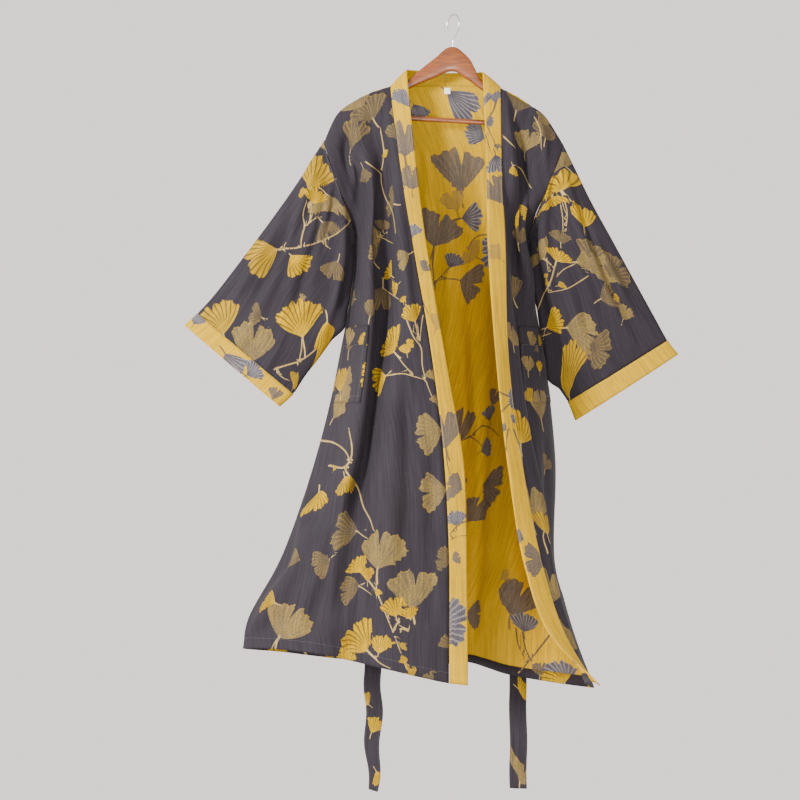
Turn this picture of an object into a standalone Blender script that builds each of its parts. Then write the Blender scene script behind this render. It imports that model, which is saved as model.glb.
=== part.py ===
"""A kimono-style robe on its wooden hanger.

The cloth hangs as one closed-up body section that is cut at its seams: rails run down
every fold and seam, rows run across them, and each panel is a stretch of that grid with a
thin wall. Sizes are in millimetres here and the meshes are in metres, +Z up, with the
front towards -Y. The origin is the underside of the hook's crown.
"""

import math
from collections import namedtuple

import bmesh
import bpy
import numpy as np

MM = 0.001

# Cloth
WALL = 1.6  # double-faced cotton with its turnings
SEAM_GAP = 0.3  # between sewn pieces
LAY_GAP = 0.4  # between a panel and what is sewn on it
RIDGE_INSET = 0.8  # of each panel at the shoulder seam, where the cloth turns over
MOST_TURN = math.radians(130)
SHOULDER_ROLL = 14.0  # how far the cloth rolls over the hanger before it falls

# Levels down the body, and the rows between one level and the next
HEIGHTS = (-360.0, -470.0, -720.0, -920.0, -1120.0, -1250.0)  # chest to calf
ROWS = (2, 4, 3, 7, 5, 4, 3, 2)  # top to roll, then to chest, underarm, waist and so on
ARMHOLE_ROWS = sum(ROWS[:3])
POCKET_ROWS = (14, 18)  # mouth and bottom

# Neck opening
NECK_CENTRE = -15.0
NECK_HALF_WIDTH = 113.5
NECK_DEPTH = 38.0
NECK_SEAM_HEIGHT = -149.0
NECK_RISE_BEHIND = 8.0
NECK_SEAM_INSET = 1.9  # the band's start above the seam
COLLAR_RISE_BEHIND = 5.0
COLLAR_LEAN = 6.0  # of the band's free edge, outwards behind the neck
NECKBAND_STEPS = 7  # from the centre back to a shoulder seam
NECK_FALL = 2.0  # of the back, outwards just under the neck seam

# Each rail: its place, its top point, x then y at chest, underarm, waist, hip, knee, calf
# and hem, and the height of the hem there.
Rail = namedtuple("Rail", "place top x y hem")

LEFT_FRONT = (
    Rail(
        "free edge",
        (-95, 2, -112),
        (-72, -58, -17, 18, 24, 25, 26),
        (-62, -80, -125, -130, -135, -135, -135),
        -1368,
    ),
    Rail(
        "band seam",
        (-129, 0, -147),
        (-104, -86, -45, -22, -12, -12, -12),
        (-66, -86, -133, -140, -142, -142, -142),
        -1363,
    ),
    Rail(
        "front ridge",
        (-150, 0, -154),
        (-115, -103, -110, -120, -134, -134, -130),
        (-62, -84, -130, -138, -142, -144, -145),
        -1336,
    ),
    Rail(
        "long valley",
        (-182, 0, -167),
        (-141, -142, -156, -186, -208, -214, -222),
        (-34, -44, -92, -92, -96, -98, -100),
        -1320,
    ),
    Rail(
        "side ridge",
        (-208, 0, -180),
        (-166, -167, -178, -211, -250, -256, -262),
        (-52, -68, -118, -114, -112, -112, -112),
        -1310,
    ),
    Rail(
        "side pleat",
        (-238, 0, -203),
        (-193, -190, -208, -246, -316, -368, -364),
        (-20, -34, -58, -54, -66, -78, -85),
        -1301,
    ),
    Rail(
        "armhole and side seam",
        (-265, 0, -257),
        (-234, -203, -238, -286, -355, -424, -433),
        (-44, 4, 15, 10, -10, -25, -30),
        -1307,
    ),
)

RIGHT_FRONT = (
    Rail(
        "free edge",
        (61, 2, -117),
        (67, 66, 79, 100, 133, 180, 279),
        (-85, -125, -225, -245, -250, -250, -255),
        -1351,
    ),
    Rail(
        "band seam",
        (98, 0, -151),
        (99, 103, 105, 130, 170, 212, 266),
        (-70, -105, -200, -220, -222, -222, -225),
        -1347,
    ),
    Rail(
        "fold edge",
        (124, 0, -167),
        (112, 112, 129, 156, 191, 217, 264),
        (-60, -90, -165, -185, -190, -190, -190),
        -1352,
    ),
    Rail(
        "inner valley",
        (152, 0, -184),
        (130, 126, 124, 149, 187, 216, 262),
        (-30, -48, -118, -132, -138, -138, -138),
        -1362,
    ),
    Rail(
        "side ridge",
        (184, 0, -203),
        (156, 146, 158, 184, 200, 227, 274),
        (-46, -52, -74, -80, -80, -80, -80),
        -1376,
    ),
    Rail(
        "armhole and side seam",
        (225, 0, -263),
        (192, 156, 191, 212, 209, 237, 288),
        (-44, 4, 25, 25, 25, 22, 20),
        -1394,
    ),
)

# A top given as one number is an angle round the neck opening, from its left end.
BACK = (
    Rail(
        "left side seam",
        (-265, 0, -257),
        (-236, -203, -238, -286, -355, -424, -433),
        (36, 4, 15, 10, -10, -25, -30),
        -1307,
    ),
    Rail(
        "left side fold",
        (-205, 0, -179),
        (-196, -184, -206, -242, -302, -345, -350),
        (54, 48, 64, 70, 62, 55, 55),
        -1325,
    ),
    Rail(
        "left shoulder fold",
        (-129, 0, -147),
        (-122, -124, -136, -157, -197, -226, -230),
        (38, 42, 44, 44, 44, 40, 40),
        -1337,
    ),
    Rail(
        "left pleat",
        50,
        (-68, -68, -72, -82, -106, -120, -124),
        (54, 68, 86, 94, 98, 96, 96),
        -1345,
    ),
    Rail(
        "centre ridge",
        92,
        (-4, -6, -6, -11, -26, -35, -38),
        (44, 48, 46, 46, 44, 42, 42),
        -1350,
    ),
    Rail(
        "inside fold line",
        130,
        (62, 70, 63, 63, 50, 36, 32),
        (62, 78, 98, 104, 104, 98, 88),
        -1350,
    ),
    Rail(
        "right shoulder fold",
        (98, 0, -151),
        (102, 104, 112, 124, 122, 116, 114),
        (44, 48, 46, 40, 30, 16, 8),
        -1365,
    ),
    Rail(
        "right side fold",
        (168, 0, -193),
        (152, 138, 160, 178, 180, 190, 222),
        (54, 46, 66, 64, 50, 28, 8),
        -1384,
    ),
    Rail(
        "right side seam",
        (225, 0, -263),
        (192, 156, 191, 212, 209, 237, 288),
        (36, 4, 25, 25, 25, 22, 20),
        -1394,
    ),
)
FRONT_SPANS = {"left": (2, 3, 2, 3, 3), "right": (2, 2, 3, 4)}
BACK_SPANS = (3, 3, 3, 3, 3, 3, 3, 3)
POCKET_EDGE_LIFT = 0.9  # more at its inner edge, over the sharp side ridge
POCKET_SPANS = {"left": (7, 12), "right": (5, 10)}  # columns from the band seam

# Each sleeve section: top and bottom edge (x, z), middle depth, reach to front and back,
# and the height and place of the soft ridge on its front layer.
Section = namedtuple("Section", "top bottom middle front back ridge at")

SLEEVES = {
    "left": (
        Section((-292, -302), (-215, -522), -8, 32, 30, 6, 0.35),
        Section((-325, -354), (-222, -580), -14, 30, 26, 10, 0.40),
        Section((-379, -431), (-233, -640), -19, 27, 22, 10, 0.46),
        Section((-441, -513), (-272, -702), -15, 25, 21, 7, 0.52),
        Section((-497, -584), (-307, -747), -9, 23, 20, 4, 0.60),
        Section((-528, -617), (-331, -783), -6, 22, 19, 2, 0.66),
        Section((-555, -642), (-359, -809), -6, 22, 19, 2, 0.66),
    ),
    "right": (
        Section((248, -313), (174, -550), -10, 32, 28, 8, 0.40),
        Section((283, -387), (186, -629), -18, 30, 24, 10, 0.44),
        Section((327, -468), (197, -696), -22, 28, 21, 10, 0.48),
        Section((372, -549), (204, -747), -17, 25, 20, 7, 0.52),
        Section((418, -631), (221, -775), -11, 23, 19, 4, 0.56),
        Section((442, -673), (237, -799), -8, 22, 19, 2, 0.60),
        Section((464, -702), (253, -838), -8, 22, 19, 2, 0.60),
    ),
}
SLEEVE_SPANS = (2, 2, 2, 2, 2, 1)
SLEEVE_START = 0.8  # the tube starts this far outside the armhole's edge
UNDERARM_CLEAR = 7.6  # and this much further at the underarm
RIDGE_WIDTH = 0.16  # of the sleeve's width
SLEEVE_FULLNESS = 0.8  # below 1 the tube is flatter in the middle and fuller at its edges

# Belt, loops and label
BELT_WIDTH = 36.0
BELT_HEIGHT = -690.0
BELT_LEFT = -167.0
BELT_RIGHT = 135.0
BELT_TURN = 26.0  # radius where it leaves its loop and falls
BELT_TURN_ANGLES = (30, 60, 90)
BELT_ENDS = {"left": -1622.0, "right": -1601.0}
BELT_TWIST = {"left": math.radians(58), "right": math.radians(12)}
BELT_TWIST_SHARE = 0.2  # of the tail, from its end
BELT_TAIL_SPANS = 26
BELT_BACK_SPANS = 10
BELT_LIFT = 2.4  # middle of the belt's wall over the middle of the back's
STENCIL = (-1, -0.5, 0, 0.5, 1)  # places looked at across what lies on the back
BELT_EASE = 2  # steps
BELT_MARGIN = 1.0  # of cloth looked at past the belt's and loops' edges
LOOP_WIDTH = 9.0
LOOP_HEIGHT = 60.0
LOOP_CLEAR = 3.0
LOOP_SEAT = 0.1  # more at the loop's sewn ends
LOOP_WALL = 1.0
LABEL_WIDTH = 13.0
LABEL_HEIGHT = 13.0
LABEL_DROP = 4.0
LABEL_WALL = 1.0
LABEL_CREST = 0.3

# Hanger
HOOK_WIRE = 3.6
HOOK_RADIUS = 20.0
HOOK_TURN = math.radians(52)
HOOK_RING = (215, -50, -15)  # degrees from the tip round to the neck
HOOK_SEAT_TOP = -40.0
HOOK_NECK = ((7.5, -41.5), (1.0, -50.0), (0.0, -60.0), (0.0, -76.0))  # along the ring's plane, z
HANGER_END_LEFT = -229.0
HANGER_END_RIGHT = 205.0
HANGER_DEPTH = 14.0
HANGER_SIDES = 16
HANGER_ROUNDING = 0.6  # 1 is an ellipse, and less is closer to a box
# The wood where it stands clear of the cloth: x, its top and its underside
HANGER_CROWN = (
    (-118, -144, -166),
    (-91, -133, -152),
    (-77, -120, -145),
    (-58, -104, -137),
    (-35, -86, -128),
    (-14, -68, -118),
    (-2, -65, -116),
    (8, -67, -118),
    (20, -76, -127),
    (35, -91, -136),
    (46, -112, -145),
    (57, -133, -153),
    (84, -148, -170),
)
ARM_HEIGHT = 24.0
ARM_SPANS = 12
BAR_RADIUS = 5.0
ROD_SIDES = 20
BAR_LEFT = (-218.0, -205.6)
BAR_RIGHT = (186.0, -228.5)


def clear_scene():
    for piece in list(bpy.data.objects):
        bpy.data.objects.remove(piece, do_unlink=True)


def material(name, colour, roughness, metallic=0.0):
    made = bpy.data.materials.new(name)
    made.use_nodes = True
    surface = made.node_tree.nodes["Principled BSDF"]
    surface.inputs["Base Color"].default_value = (*colour, 1.0)
    surface.inputs["Roughness"].default_value = roughness
    surface.inputs["Metallic"].default_value = metallic
    return made


def through(points, spans, before=None, after=None):
    """Points on a smooth curve through the given ones, spans[i] steps from each to the next."""
    knots = [np.asarray(point, float) for point in points]
    first = 2 * knots[0] - knots[1] if before is None else np.asarray(before, float)
    last = 2 * knots[-1] - knots[-2] if after is None else np.asarray(after, float)
    knots = [first, *knots, last]
    made = [knots[1]]
    for index, steps in enumerate(spans):
        a, b, c, d = knots[index : index + 4]
        ab, bc, cd = (
            max(np.linalg.norm(end - start), 1e-6) ** 0.5
            for start, end in ((a, b), (b, c), (c, d))
        )
        leave = bc * ((b - a) / ab - (c - a) / (ab + bc) + (c - b) / bc)
        reach = bc * ((c - b) / bc - (d - b) / (bc + cd) + (d - c) / cd)
        for step in range(1, steps + 1):
            t = step / steps
            made.append(
                (2 * t**3 - 3 * t**2 + 1) * b
                + (t**3 - 2 * t**2 + t) * leave
                + (3 * t**2 - 2 * t**3) * c
                + (t**3 - t**2) * reach
            )
    return np.array(made)


def neck_point(angle):
    """A point of the neck seam behind the hanger, by its angle from the left neck point."""
    turn = math.radians(angle)
    return (
        NECK_CENTRE - NECK_HALF_WIDTH * math.cos(turn),
        NECK_DEPTH * math.sin(turn),
        NECK_SEAM_HEIGHT + NECK_RISE_BEHIND * math.sin(turn),
    )


def rail_points(rail, side):
    """One rail from top to hem. side is -1 on a front and 1 on the back."""
    if isinstance(rail.top, tuple):
        x, y, z = rail.top
        roll = (x, y + side * SHOULDER_ROLL, z - SHOULDER_ROLL)
        before = (x, y - side * SHOULDER_ROLL, z - SHOULDER_ROLL)
        top = rail.top
    else:
        top = neck_point(rail.top)
        roll = (top[0], top[1] + NECK_FALL, top[2] - SHOULDER_ROLL)
        before = None
    falls = zip(rail.x, rail.y, (*HEIGHTS, rail.hem))
    return through((top, roll, *falls), ROWS, before)


def unit(vectors):
    return vectors / np.linalg.norm(vectors, axis=-1, keepdims=True)


def panel(rails, side, spans, before=None, after=None):
    """A grid of points over a panel. before and after are rails past its seams, which the
    cloth runs on to below the armhole."""
    columns = [rail_points(rail, side) for rail in rails]
    grid = []
    for index in range(len(columns[0])):
        joined = index >= ARMHOLE_ROWS
        row = through(
            [column[index] for column in columns],
            spans,
            before[index] if before is not None and joined else None,
            after[index] if after is not None and joined else None,
        )
        grid.append(row)
    grid = np.array(grid)
    grid[0, :, 1] = side * np.maximum(side * grid[0, :, 1], 0)
    grid[0] += unit(grid[1] - grid[0]) * RIDGE_INSET
    return grid


def part_seam(one, other):
    """Draws in two panels' edges, so that their walls clear each other where they turn.

    Each is a pair: the edge's column and the column beside it."""
    seam = (one[0] + other[0]) / 2
    one[0][:] = seam
    other[0][:] = seam
    away = [unit(beside - edge) for edge, beside in (one, other)]
    opposed = np.clip(-(away[0] * away[1]).sum(axis=1), -1, 1)
    turn = np.minimum(np.arccos(opposed), MOST_TURN)
    lengths = SEAM_GAP / 2 + WALL / 2 * np.tan(turn / 2)
    for (edge, _), way in zip((one, other), away):
        edge += way * lengths[:, None]


def normals(grid):
    """Unit normals of a grid, from its rows and columns."""
    down = np.gradient(grid, axis=0)
    across = np.gradient(grid, axis=1)
    return unit(np.cross(across, down))


def cloth(name, grid, look, home, closed=False, wall=WALL):
    """An open or a tube-shaped grid made into a solid wall of cloth."""
    rows, columns = grid.shape[:2]
    shape = bmesh.new()
    made = [[shape.verts.new(point * MM) for point in row] for row in grid]
    for upper, lower in zip(made, made[1:]):
        for column in range(columns if closed else columns - 1):
            follow = (column + 1) % columns
            shape.faces.new(
                (upper[column], lower[column], lower[follow], upper[follow])
            )
    return finish(name, shape, look, home, wall)


def finish(name, shape, look, home, wall):
    mesh = bpy.data.meshes.new(name)
    shape.to_mesh(mesh)
    shape.free()
    mesh.shade_smooth()
    piece = bpy.data.objects.new(name, mesh)
    mesh.materials.append(look)
    home.objects.link(piece)
    solid = piece.modifiers.new("Wall", "SOLIDIFY")
    solid.thickness = wall * MM
    solid.offset = 0.0
    solid.use_even_offset = True
    return piece


def sleeve_ring(section, count):
    """A closed ring of points round a sleeve, from its top edge down the front."""
    top, bottom = np.array(section.top, float), np.array(section.bottom, float)
    ring = []
    for index in range(count):
        angle = 2 * math.pi * index / count
        share = (1 - math.cos(angle)) / 2
        x, z = top + (bottom - top) * share
        bulge = abs(math.sin(angle)) ** SLEEVE_FULLNESS
        if math.sin(angle) > 0:
            lift = math.exp(-(((share - section.at) / RIDGE_WIDTH) ** 2))
            y = section.middle - section.front * bulge - section.ridge * lift * bulge
        else:
            y = section.middle + section.back * bulge
        ring.append((x, y, z))
    return np.array(ring)


def sleeve(side, front, back, look, trim, home):
    """The sleeve's tube, from the armhole to the cuff seam, and its cuff band."""
    opening = np.concatenate(
        (
            front[: ARMHOLE_ROWS + 1],
            back[ARMHOLE_ROWS - 1 : 0 : -1],
        )
    )
    sections = [sleeve_ring(section, len(opening)) for section in SLEEVES[side]]
    lower = (opening[0, 2] - opening[:, 2]) / (opening[0, 2] - opening[:, 2].min())
    clear = SLEEVE_START + UNDERARM_CLEAR * lower
    start = opening + unit(sections[0] - opening) * clear[:, None]
    rings = [
        through([start[point], *(ring[point] for ring in sections)], (*SLEEVE_SPANS, 1))
        for point in range(len(opening))
    ]
    tube = np.array(rings).transpose(1, 0, 2)
    mouth = tube[-2] + unit(tube[-1] - tube[-2]) * (2 * SEAM_GAP)
    cloth(f"sleeve_{side}", tube[:-1], look, home, closed=True)
    cloth(f"cuff_{side}", np.array([mouth, tube[-1]]), trim, home, closed=True)


def neckband(side, rails, seam, home, look):
    """The band from the centre back, round the neck and down the front edge to the hem."""
    free = rail_points(rails[0], -1)
    outward = 1 if side == "right" else -1
    angles = np.linspace(90, 180 if side == "right" else 0, NECKBAND_STEPS)[:-1]
    seam_line = [neck_point(angle) for angle in angles]
    free_line = []
    reach = abs(rails[0].top[0] - NECK_CENTRE)
    for angle in angles:
        turn = math.radians(angle)
        free_line.append(
            (
                NECK_CENTRE - reach * math.cos(turn),
                rails[0].top[1] + (NECK_DEPTH + COLLAR_LEAN) * math.sin(turn),
                rails[0].top[2] + COLLAR_RISE_BEHIND * math.sin(turn),
            )
        )
    edge = np.array([*seam_line, *seam])
    free = np.array([*free_line, *free])
    across = free - edge
    width = np.linalg.norm(across, axis=1, keepdims=True)
    start = edge + across / width * NECK_SEAM_INSET
    grid = np.stack((start, (start + free) / 2, free), axis=1)
    grid[0, :, 0] = NECK_CENTRE + outward * SEAM_GAP
    cloth(f"neckband_{side}", grid, look, home)


def depth_at(back, x, z):
    """The back's outermost depth at a place of its outer face, or None beside it."""
    a, b, c, d = back[:-1, :-1], back[:-1, 1:], back[1:, :-1], back[1:, 1:]
    found = []
    for p, q, r in ((a, b, c), (d, c, b)):
        qx, qz = q[..., 0] - p[..., 0], q[..., 2] - p[..., 2]
        rx, rz = r[..., 0] - p[..., 0], r[..., 2] - p[..., 2]
        px, pz = x - p[..., 0], z - p[..., 2]
        area = qx * rz - qz * rx
        area[area == 0] = 1e-9
        u, v = (px * rz - pz * rx) / area, (qx * pz - qz * px) / area
        inside = (u >= 0) & (v >= 0) & (u + v <= 1)
        depth = p[..., 1] + u * (q[..., 1] - p[..., 1]) + v * (r[..., 1] - p[..., 1])
        found += list(depth[inside])
    return max(found) if found else None


def outermost(back, x, z, reach_x, reach_z):
    """The furthest depth of the back over a small rectangle, or None beside it."""
    places = [(x + i * reach_x, z + k * reach_z) for i in STENCIL for k in STENCIL]
    depths = [depth_at(back, *place) for place in places]
    depths = [depth for depth in depths if depth is not None]
    return max(depths) if depths else None


def eased(depths):
    """A smooth line on or outside these depths: the highest near each, then their mean."""
    padded = [depths[0]] * BELT_EASE + list(depths) + [depths[-1]] * BELT_EASE
    width = 2 * BELT_EASE + 1
    highest = [max(padded[i : i + width]) for i in range(len(depths))]
    padded = [highest[0]] * BELT_EASE + highest + [highest[-1]] * BELT_EASE
    return [sum(padded[i : i + width]) / width for i in range(len(depths))]


def belt(back, look, home):
    """One strip: up from its left end, round a turn, across the back and down again."""
    route = []
    for side, x, sign in (("left", BELT_LEFT, 1), ("right", BELT_RIGHT, -1)):
        part = []
        for z in np.linspace(BELT_ENDS[side], BELT_HEIGHT - BELT_TURN, BELT_TAIL_SPANS):
            share = (z - BELT_ENDS[side]) / (BELT_HEIGHT - BELT_ENDS[side])
            twist = BELT_TWIST[side] * max(0.0, 1 - share / BELT_TWIST_SHARE)
            part.append((x, z, (-sign, 0), twist))
        for turn in np.radians(BELT_TURN_ANGLES):
            place = x + sign * BELT_TURN * (1 - math.cos(turn))
            height = BELT_HEIGHT - BELT_TURN * (1 - math.sin(turn))
            part.append((place, height, (-sign * math.cos(turn), math.sin(turn)), 0.0))
        route.append(part if sign > 0 else [flipped(step) for step in reversed(part)])
    between = np.linspace(BELT_LEFT + BELT_TURN, BELT_RIGHT - BELT_TURN, BELT_BACK_SPANS)
    route.insert(1, [(x, BELT_HEIGHT, (0, 1), 0.0) for x in between[1:-1]])
    steps = [step for part in route for step in part]
    half = BELT_WIDTH / 2 + BELT_MARGIN
    rest = [outermost(back, x, z, half, half) for x, z, *_ in steps]
    lowest = [depth for depth in rest if depth is not None]
    depths = eased(
        [
            (lowest[0] if index < len(rest) / 2 else lowest[-1]) if depth is None else depth
            for index, depth in enumerate(rest)
        ]
    )
    grid = []
    for (x, z, (wide_x, wide_z), twist), depth in zip(steps, depths):
        centre = np.array((x, depth + BELT_LIFT, z))
        wide = np.array((wide_x, 0, wide_z)) * math.cos(twist)
        half = (wide + np.array((0, math.sin(twist), 0))) * BELT_WIDTH / 2
        grid.append((centre - half, centre, centre + half))
    cloth("belt", np.array(grid), look, home)
    return np.array(grid)


def flipped(step):
    """A step of the belt's right half, whose width runs the other way."""
    x, z, (wide_x, wide_z), twist = step
    return x, z, (-wide_x, wide_z), twist


def belt_loop(side, back, strip, look, home):
    """A narrow strip that stands off the back, round the belt."""
    sign = 1 if side == "left" else -1
    x = (BELT_LEFT if sign > 0 else BELT_RIGHT) + sign * (BELT_TURN + LOOP_WIDTH)
    level = strip[abs(strip[:, 1, 2] - BELT_HEIGHT) < 1, 1]
    lift = (WALL + LOOP_WALL) / 2 + SEAM_GAP
    sides = [np.interp(x + k * LOOP_WIDTH / 2, level[:, 0], level[:, 1]) for k in (-1, 1)]
    over = max(sides) + lift
    ends = LOOP_HEIGHT / 2
    foot, head = (
        outermost(back, x, BELT_HEIGHT + z, LOOP_WIDTH / 2 + BELT_MARGIN, 2) + lift + LOOP_SEAT
        for z in (-ends, ends)
    )
    bend = BELT_WIDTH / 2 + LOOP_CLEAR
    profile = ((-ends, foot), (-bend - LOOP_CLEAR, foot + 1), (-bend, over), (bend, over))
    grid = []
    for z, y in (*profile, (bend + LOOP_CLEAR, head + 1), (ends, head)):
        grid.append([(x + k * LOOP_WIDTH / 2, y, BELT_HEIGHT + z) for k in (-1, 0, 1)])
    cloth(f"belt_loop_{side}", np.array(grid), look, home, wall=LOOP_WALL)


def pocket(side, front, look, home):
    """A flat patch from the front's own points, moved out."""
    first, last = POCKET_SPANS[side]
    top, bottom = POCKET_ROWS
    out = normals(front)
    out *= -np.sign(out[:, :, 1].mean())
    lifted = front + out * (WALL + LAY_GAP)
    lifted[:, first] += out[:, first] * POCKET_EDGE_LIFT
    cloth(f"pocket_{side}", lifted[top : bottom + 1, first : last + 1], look, home)


def label(back, look, home):
    """A small blank label on the inner face, under the neck seam."""
    middle = sum(BACK_SPANS[:4])
    along = back[:, middle]
    left, right = back[:, middle - 1], back[:, middle + 1]
    rows = []
    lengths = np.concatenate(([0], np.cumsum(np.linalg.norm(np.diff(along, axis=0), axis=1))))
    for drop in (LABEL_DROP, LABEL_DROP + LABEL_HEIGHT / 2, LABEL_DROP + LABEL_HEIGHT):
        centre, before, after = (
            np.array([np.interp(drop, lengths, line[:, axis]) for axis in range(3)])
            for line in (along, left, right)
        )
        across = (after - before) / np.linalg.norm(after - before)
        inward = np.array((0, -(WALL / 2 + LAY_GAP + LABEL_WALL / 2 + LABEL_CREST), 0))
        rows.append([centre + inward + across * LABEL_WIDTH * k for k in (-0.5, 0, 0.5)])
    cloth("label", np.array(rows), look, home, wall=LABEL_WALL)


def hanger_body(tops, look, home):
    """The wooden arms: one loft whose top lies just under the shoulders' cloth."""

    def ridge(x):
        return min(np.interp(x, row[:, 0], row[:, 2]) for row in tops) - WALL / 2 - LAY_GAP

    stations = []
    for x in np.linspace(HANGER_END_LEFT, HANGER_CROWN[0][0], ARM_SPANS)[:-1]:
        stations.append((x, ridge(x), ridge(x) - ARM_HEIGHT))
    stations += HANGER_CROWN
    for x in np.linspace(HANGER_CROWN[-1][0], HANGER_END_RIGHT, ARM_SPANS)[1:]:
        stations.append((x, ridge(x), ridge(x) - ARM_HEIGHT))
    shape = bmesh.new()
    rings = []
    for x, top, under in stations:
        middle, half = (top + under) / 2, (top - under) / 2
        rings.append([])
        for index in range(HANGER_SIDES):
            turn = 2 * math.pi * index / HANGER_SIDES
            y = HANGER_DEPTH / 2 * rounded(math.cos(turn))
            z = middle + half * rounded(math.sin(turn))
            rings[-1].append(shape.verts.new(np.array((x, y, z)) * MM))
    for one, other in zip(rings, rings[1:]):
        for index in range(HANGER_SIDES):
            follow = (index + 1) % HANGER_SIDES
            shape.faces.new((one[index], one[follow], other[follow], other[index]))
    shape.faces.new(rings[0][::-1])
    shape.faces.new(rings[-1])
    bmesh.ops.recalc_face_normals(shape, faces=shape.faces)
    mesh = bpy.data.meshes.new("hanger_body")
    shape.to_mesh(mesh)
    shape.free()
    mesh.materials.append(look)
    piece = bpy.data.objects.new("hanger_body", mesh)
    home.objects.link(piece)
    return piece


def rounded(value):
    """A sine or cosine pushed out towards the corners of its box."""
    return math.copysign(abs(value) ** HANGER_ROUNDING, value)


def rod(name, start, end, radius, look, home):
    """A round rod between two points."""
    start, end = np.array(start), np.array(end)
    length = np.linalg.norm(end - start)
    bpy.ops.mesh.primitive_cylinder_add(
        vertices=ROD_SIDES, radius=radius * MM, depth=length * MM, location=(start + end) / 2 * MM
    )
    piece = bpy.context.object
    piece.name = piece.data.name = name
    piece.rotation_euler[1] = math.atan2(end[0] - start[0], end[2] - start[2])
    for old in piece.users_collection:
        old.objects.unlink(piece)
    home.objects.link(piece)
    if look:
        piece.data.materials.append(look)
    piece.data.shade_smooth()
    return piece


def cut(piece, cutter):
    cutter.hide_render = True
    cutter.display_type = "WIRE"
    hole = piece.modifiers.new("Seat", "BOOLEAN")
    hole.operation = "DIFFERENCE"
    hole.object = cutter
    hole.solver = "EXACT"


def hook(look, home):
    """A wire: most of a ring, then an S down to the stem in the wood."""
    centre = HOOK_WIRE / 2 - HOOK_RADIUS
    turns = np.radians(np.arange(*HOOK_RING))
    line = [(HOOK_RADIUS * math.cos(t), centre + HOOK_RADIUS * math.sin(t)) for t in turns]
    line += HOOK_NECK
    stem = through(line, [1] * (len(turns) - 1) + [3] * len(HOOK_NECK))
    curve = bpy.data.curves.new("hanger_hook", "CURVE")
    curve.dimensions = "3D"
    curve.bevel_depth = HOOK_WIRE / 2 * MM
    curve.bevel_resolution = 2
    curve.use_fill_caps = True
    wire = curve.splines.new("POLY")
    wire.points.add(len(stem) - 1)
    for point, (along, z) in zip(wire.points, stem):
        place = (along * math.cos(HOOK_TURN), -along * math.sin(HOOK_TURN), z)
        point.co = (*(value * MM for value in place), 1.0)
    curve.materials.append(look)
    home.objects.link(bpy.data.objects.new("hanger_hook", curve))


def main():
    clear_scene()
    robe = bpy.data.collections.new("kimono_robe")
    bpy.context.scene.collection.children.link(robe)
    charcoal = material("charcoal cloth", (0.07, 0.065, 0.07), 0.85)
    yellow = material("yellow cloth", (0.60, 0.42, 0.05), 0.85)
    white = material("label cloth", (0.8, 0.78, 0.74), 0.8)
    varnish = material("varnished wood", (0.38, 0.12, 0.03), 0.3)
    steel = material("hook wire", (0.6, 0.58, 0.55), 0.3, 1.0)
    cutters = bpy.data.collections.new("cutters")
    bpy.context.scene.collection.children.link(cutters)

    before = rail_points(LEFT_FRONT[-2], -1)
    after = rail_points(RIGHT_FRONT[-2], -1)
    back = panel(BACK, 1, BACK_SPANS, before, after)
    grids = {}
    low = slice(ARMHOLE_ROWS, None)
    for side, rails, beside, edge, inner in (
        ("left", LEFT_FRONT, rail_points(BACK[1], 1), 0, 1),
        ("right", RIGHT_FRONT, rail_points(BACK[-2], 1), -1, -2),
    ):
        free = rail_points(rails[0], -1)
        grids[side] = front = panel(rails[1:], -1, FRONT_SPANS[side], free, beside)
        part_seam((front[low, -1], front[low, -2]), (back[low, edge], back[low, inner]))
        cloth(f"front_{side}", front, charcoal, robe)
        neckband(side, rails, rail_points(rails[1], -1), robe, yellow)
    cloth("back", back, charcoal, robe)
    strip = belt(back, charcoal, robe)
    for side, column in (("left", 0), ("right", -1)):
        rails = LEFT_FRONT if side == "left" else RIGHT_FRONT
        front_edge = rail_points(rails[-1], -1)
        back_edge = rail_points(BACK[column], 1)
        sleeve(side, front_edge, back_edge, charcoal, yellow, robe)
        pocket(side, grids[side], charcoal, robe)
        belt_loop(side, back, strip, charcoal, robe)
    label(back, white, robe)
    wood = hanger_body((grids["left"][0], grids["right"][0], back[0]), varnish, robe)
    ends = [(x, 0.0, z) for x, z in (BAR_LEFT, BAR_RIGHT)]
    rod("hanger_bar", *ends, BAR_RADIUS, varnish, robe)
    past = (np.array(ends[1]) - ends[0]) / np.linalg.norm(np.subtract(*ends)) * LAY_GAP
    seat = rod("bar_seat", ends[0] - past, ends[1] + past, BAR_RADIUS + LAY_GAP, None, cutters)
    cut(wood, seat)
    stem = (0, 0, HOOK_NECK[-1][1])
    seat_top, seat_end = (0, 0, HOOK_SEAT_TOP), (0, 0, stem[2] - LAY_GAP)
    hole = rod("hook_seat", seat_top, seat_end, HOOK_WIRE / 2 + LAY_GAP, None, cutters)
    cut(wood, hole)
    hook(steel, robe)


main()
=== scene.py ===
"""The dressed scene of a kimono-style robe on its wooden hanger.

The cloth is built on the same rails, sections and curves as the CAD part, at a finer step,
with its folds, creases, sewing and woven leaves. Lengths in the tables are millimetres, +Z
is up and the front faces -Y, as in the part.
"""

import math
from collections import namedtuple

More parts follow.
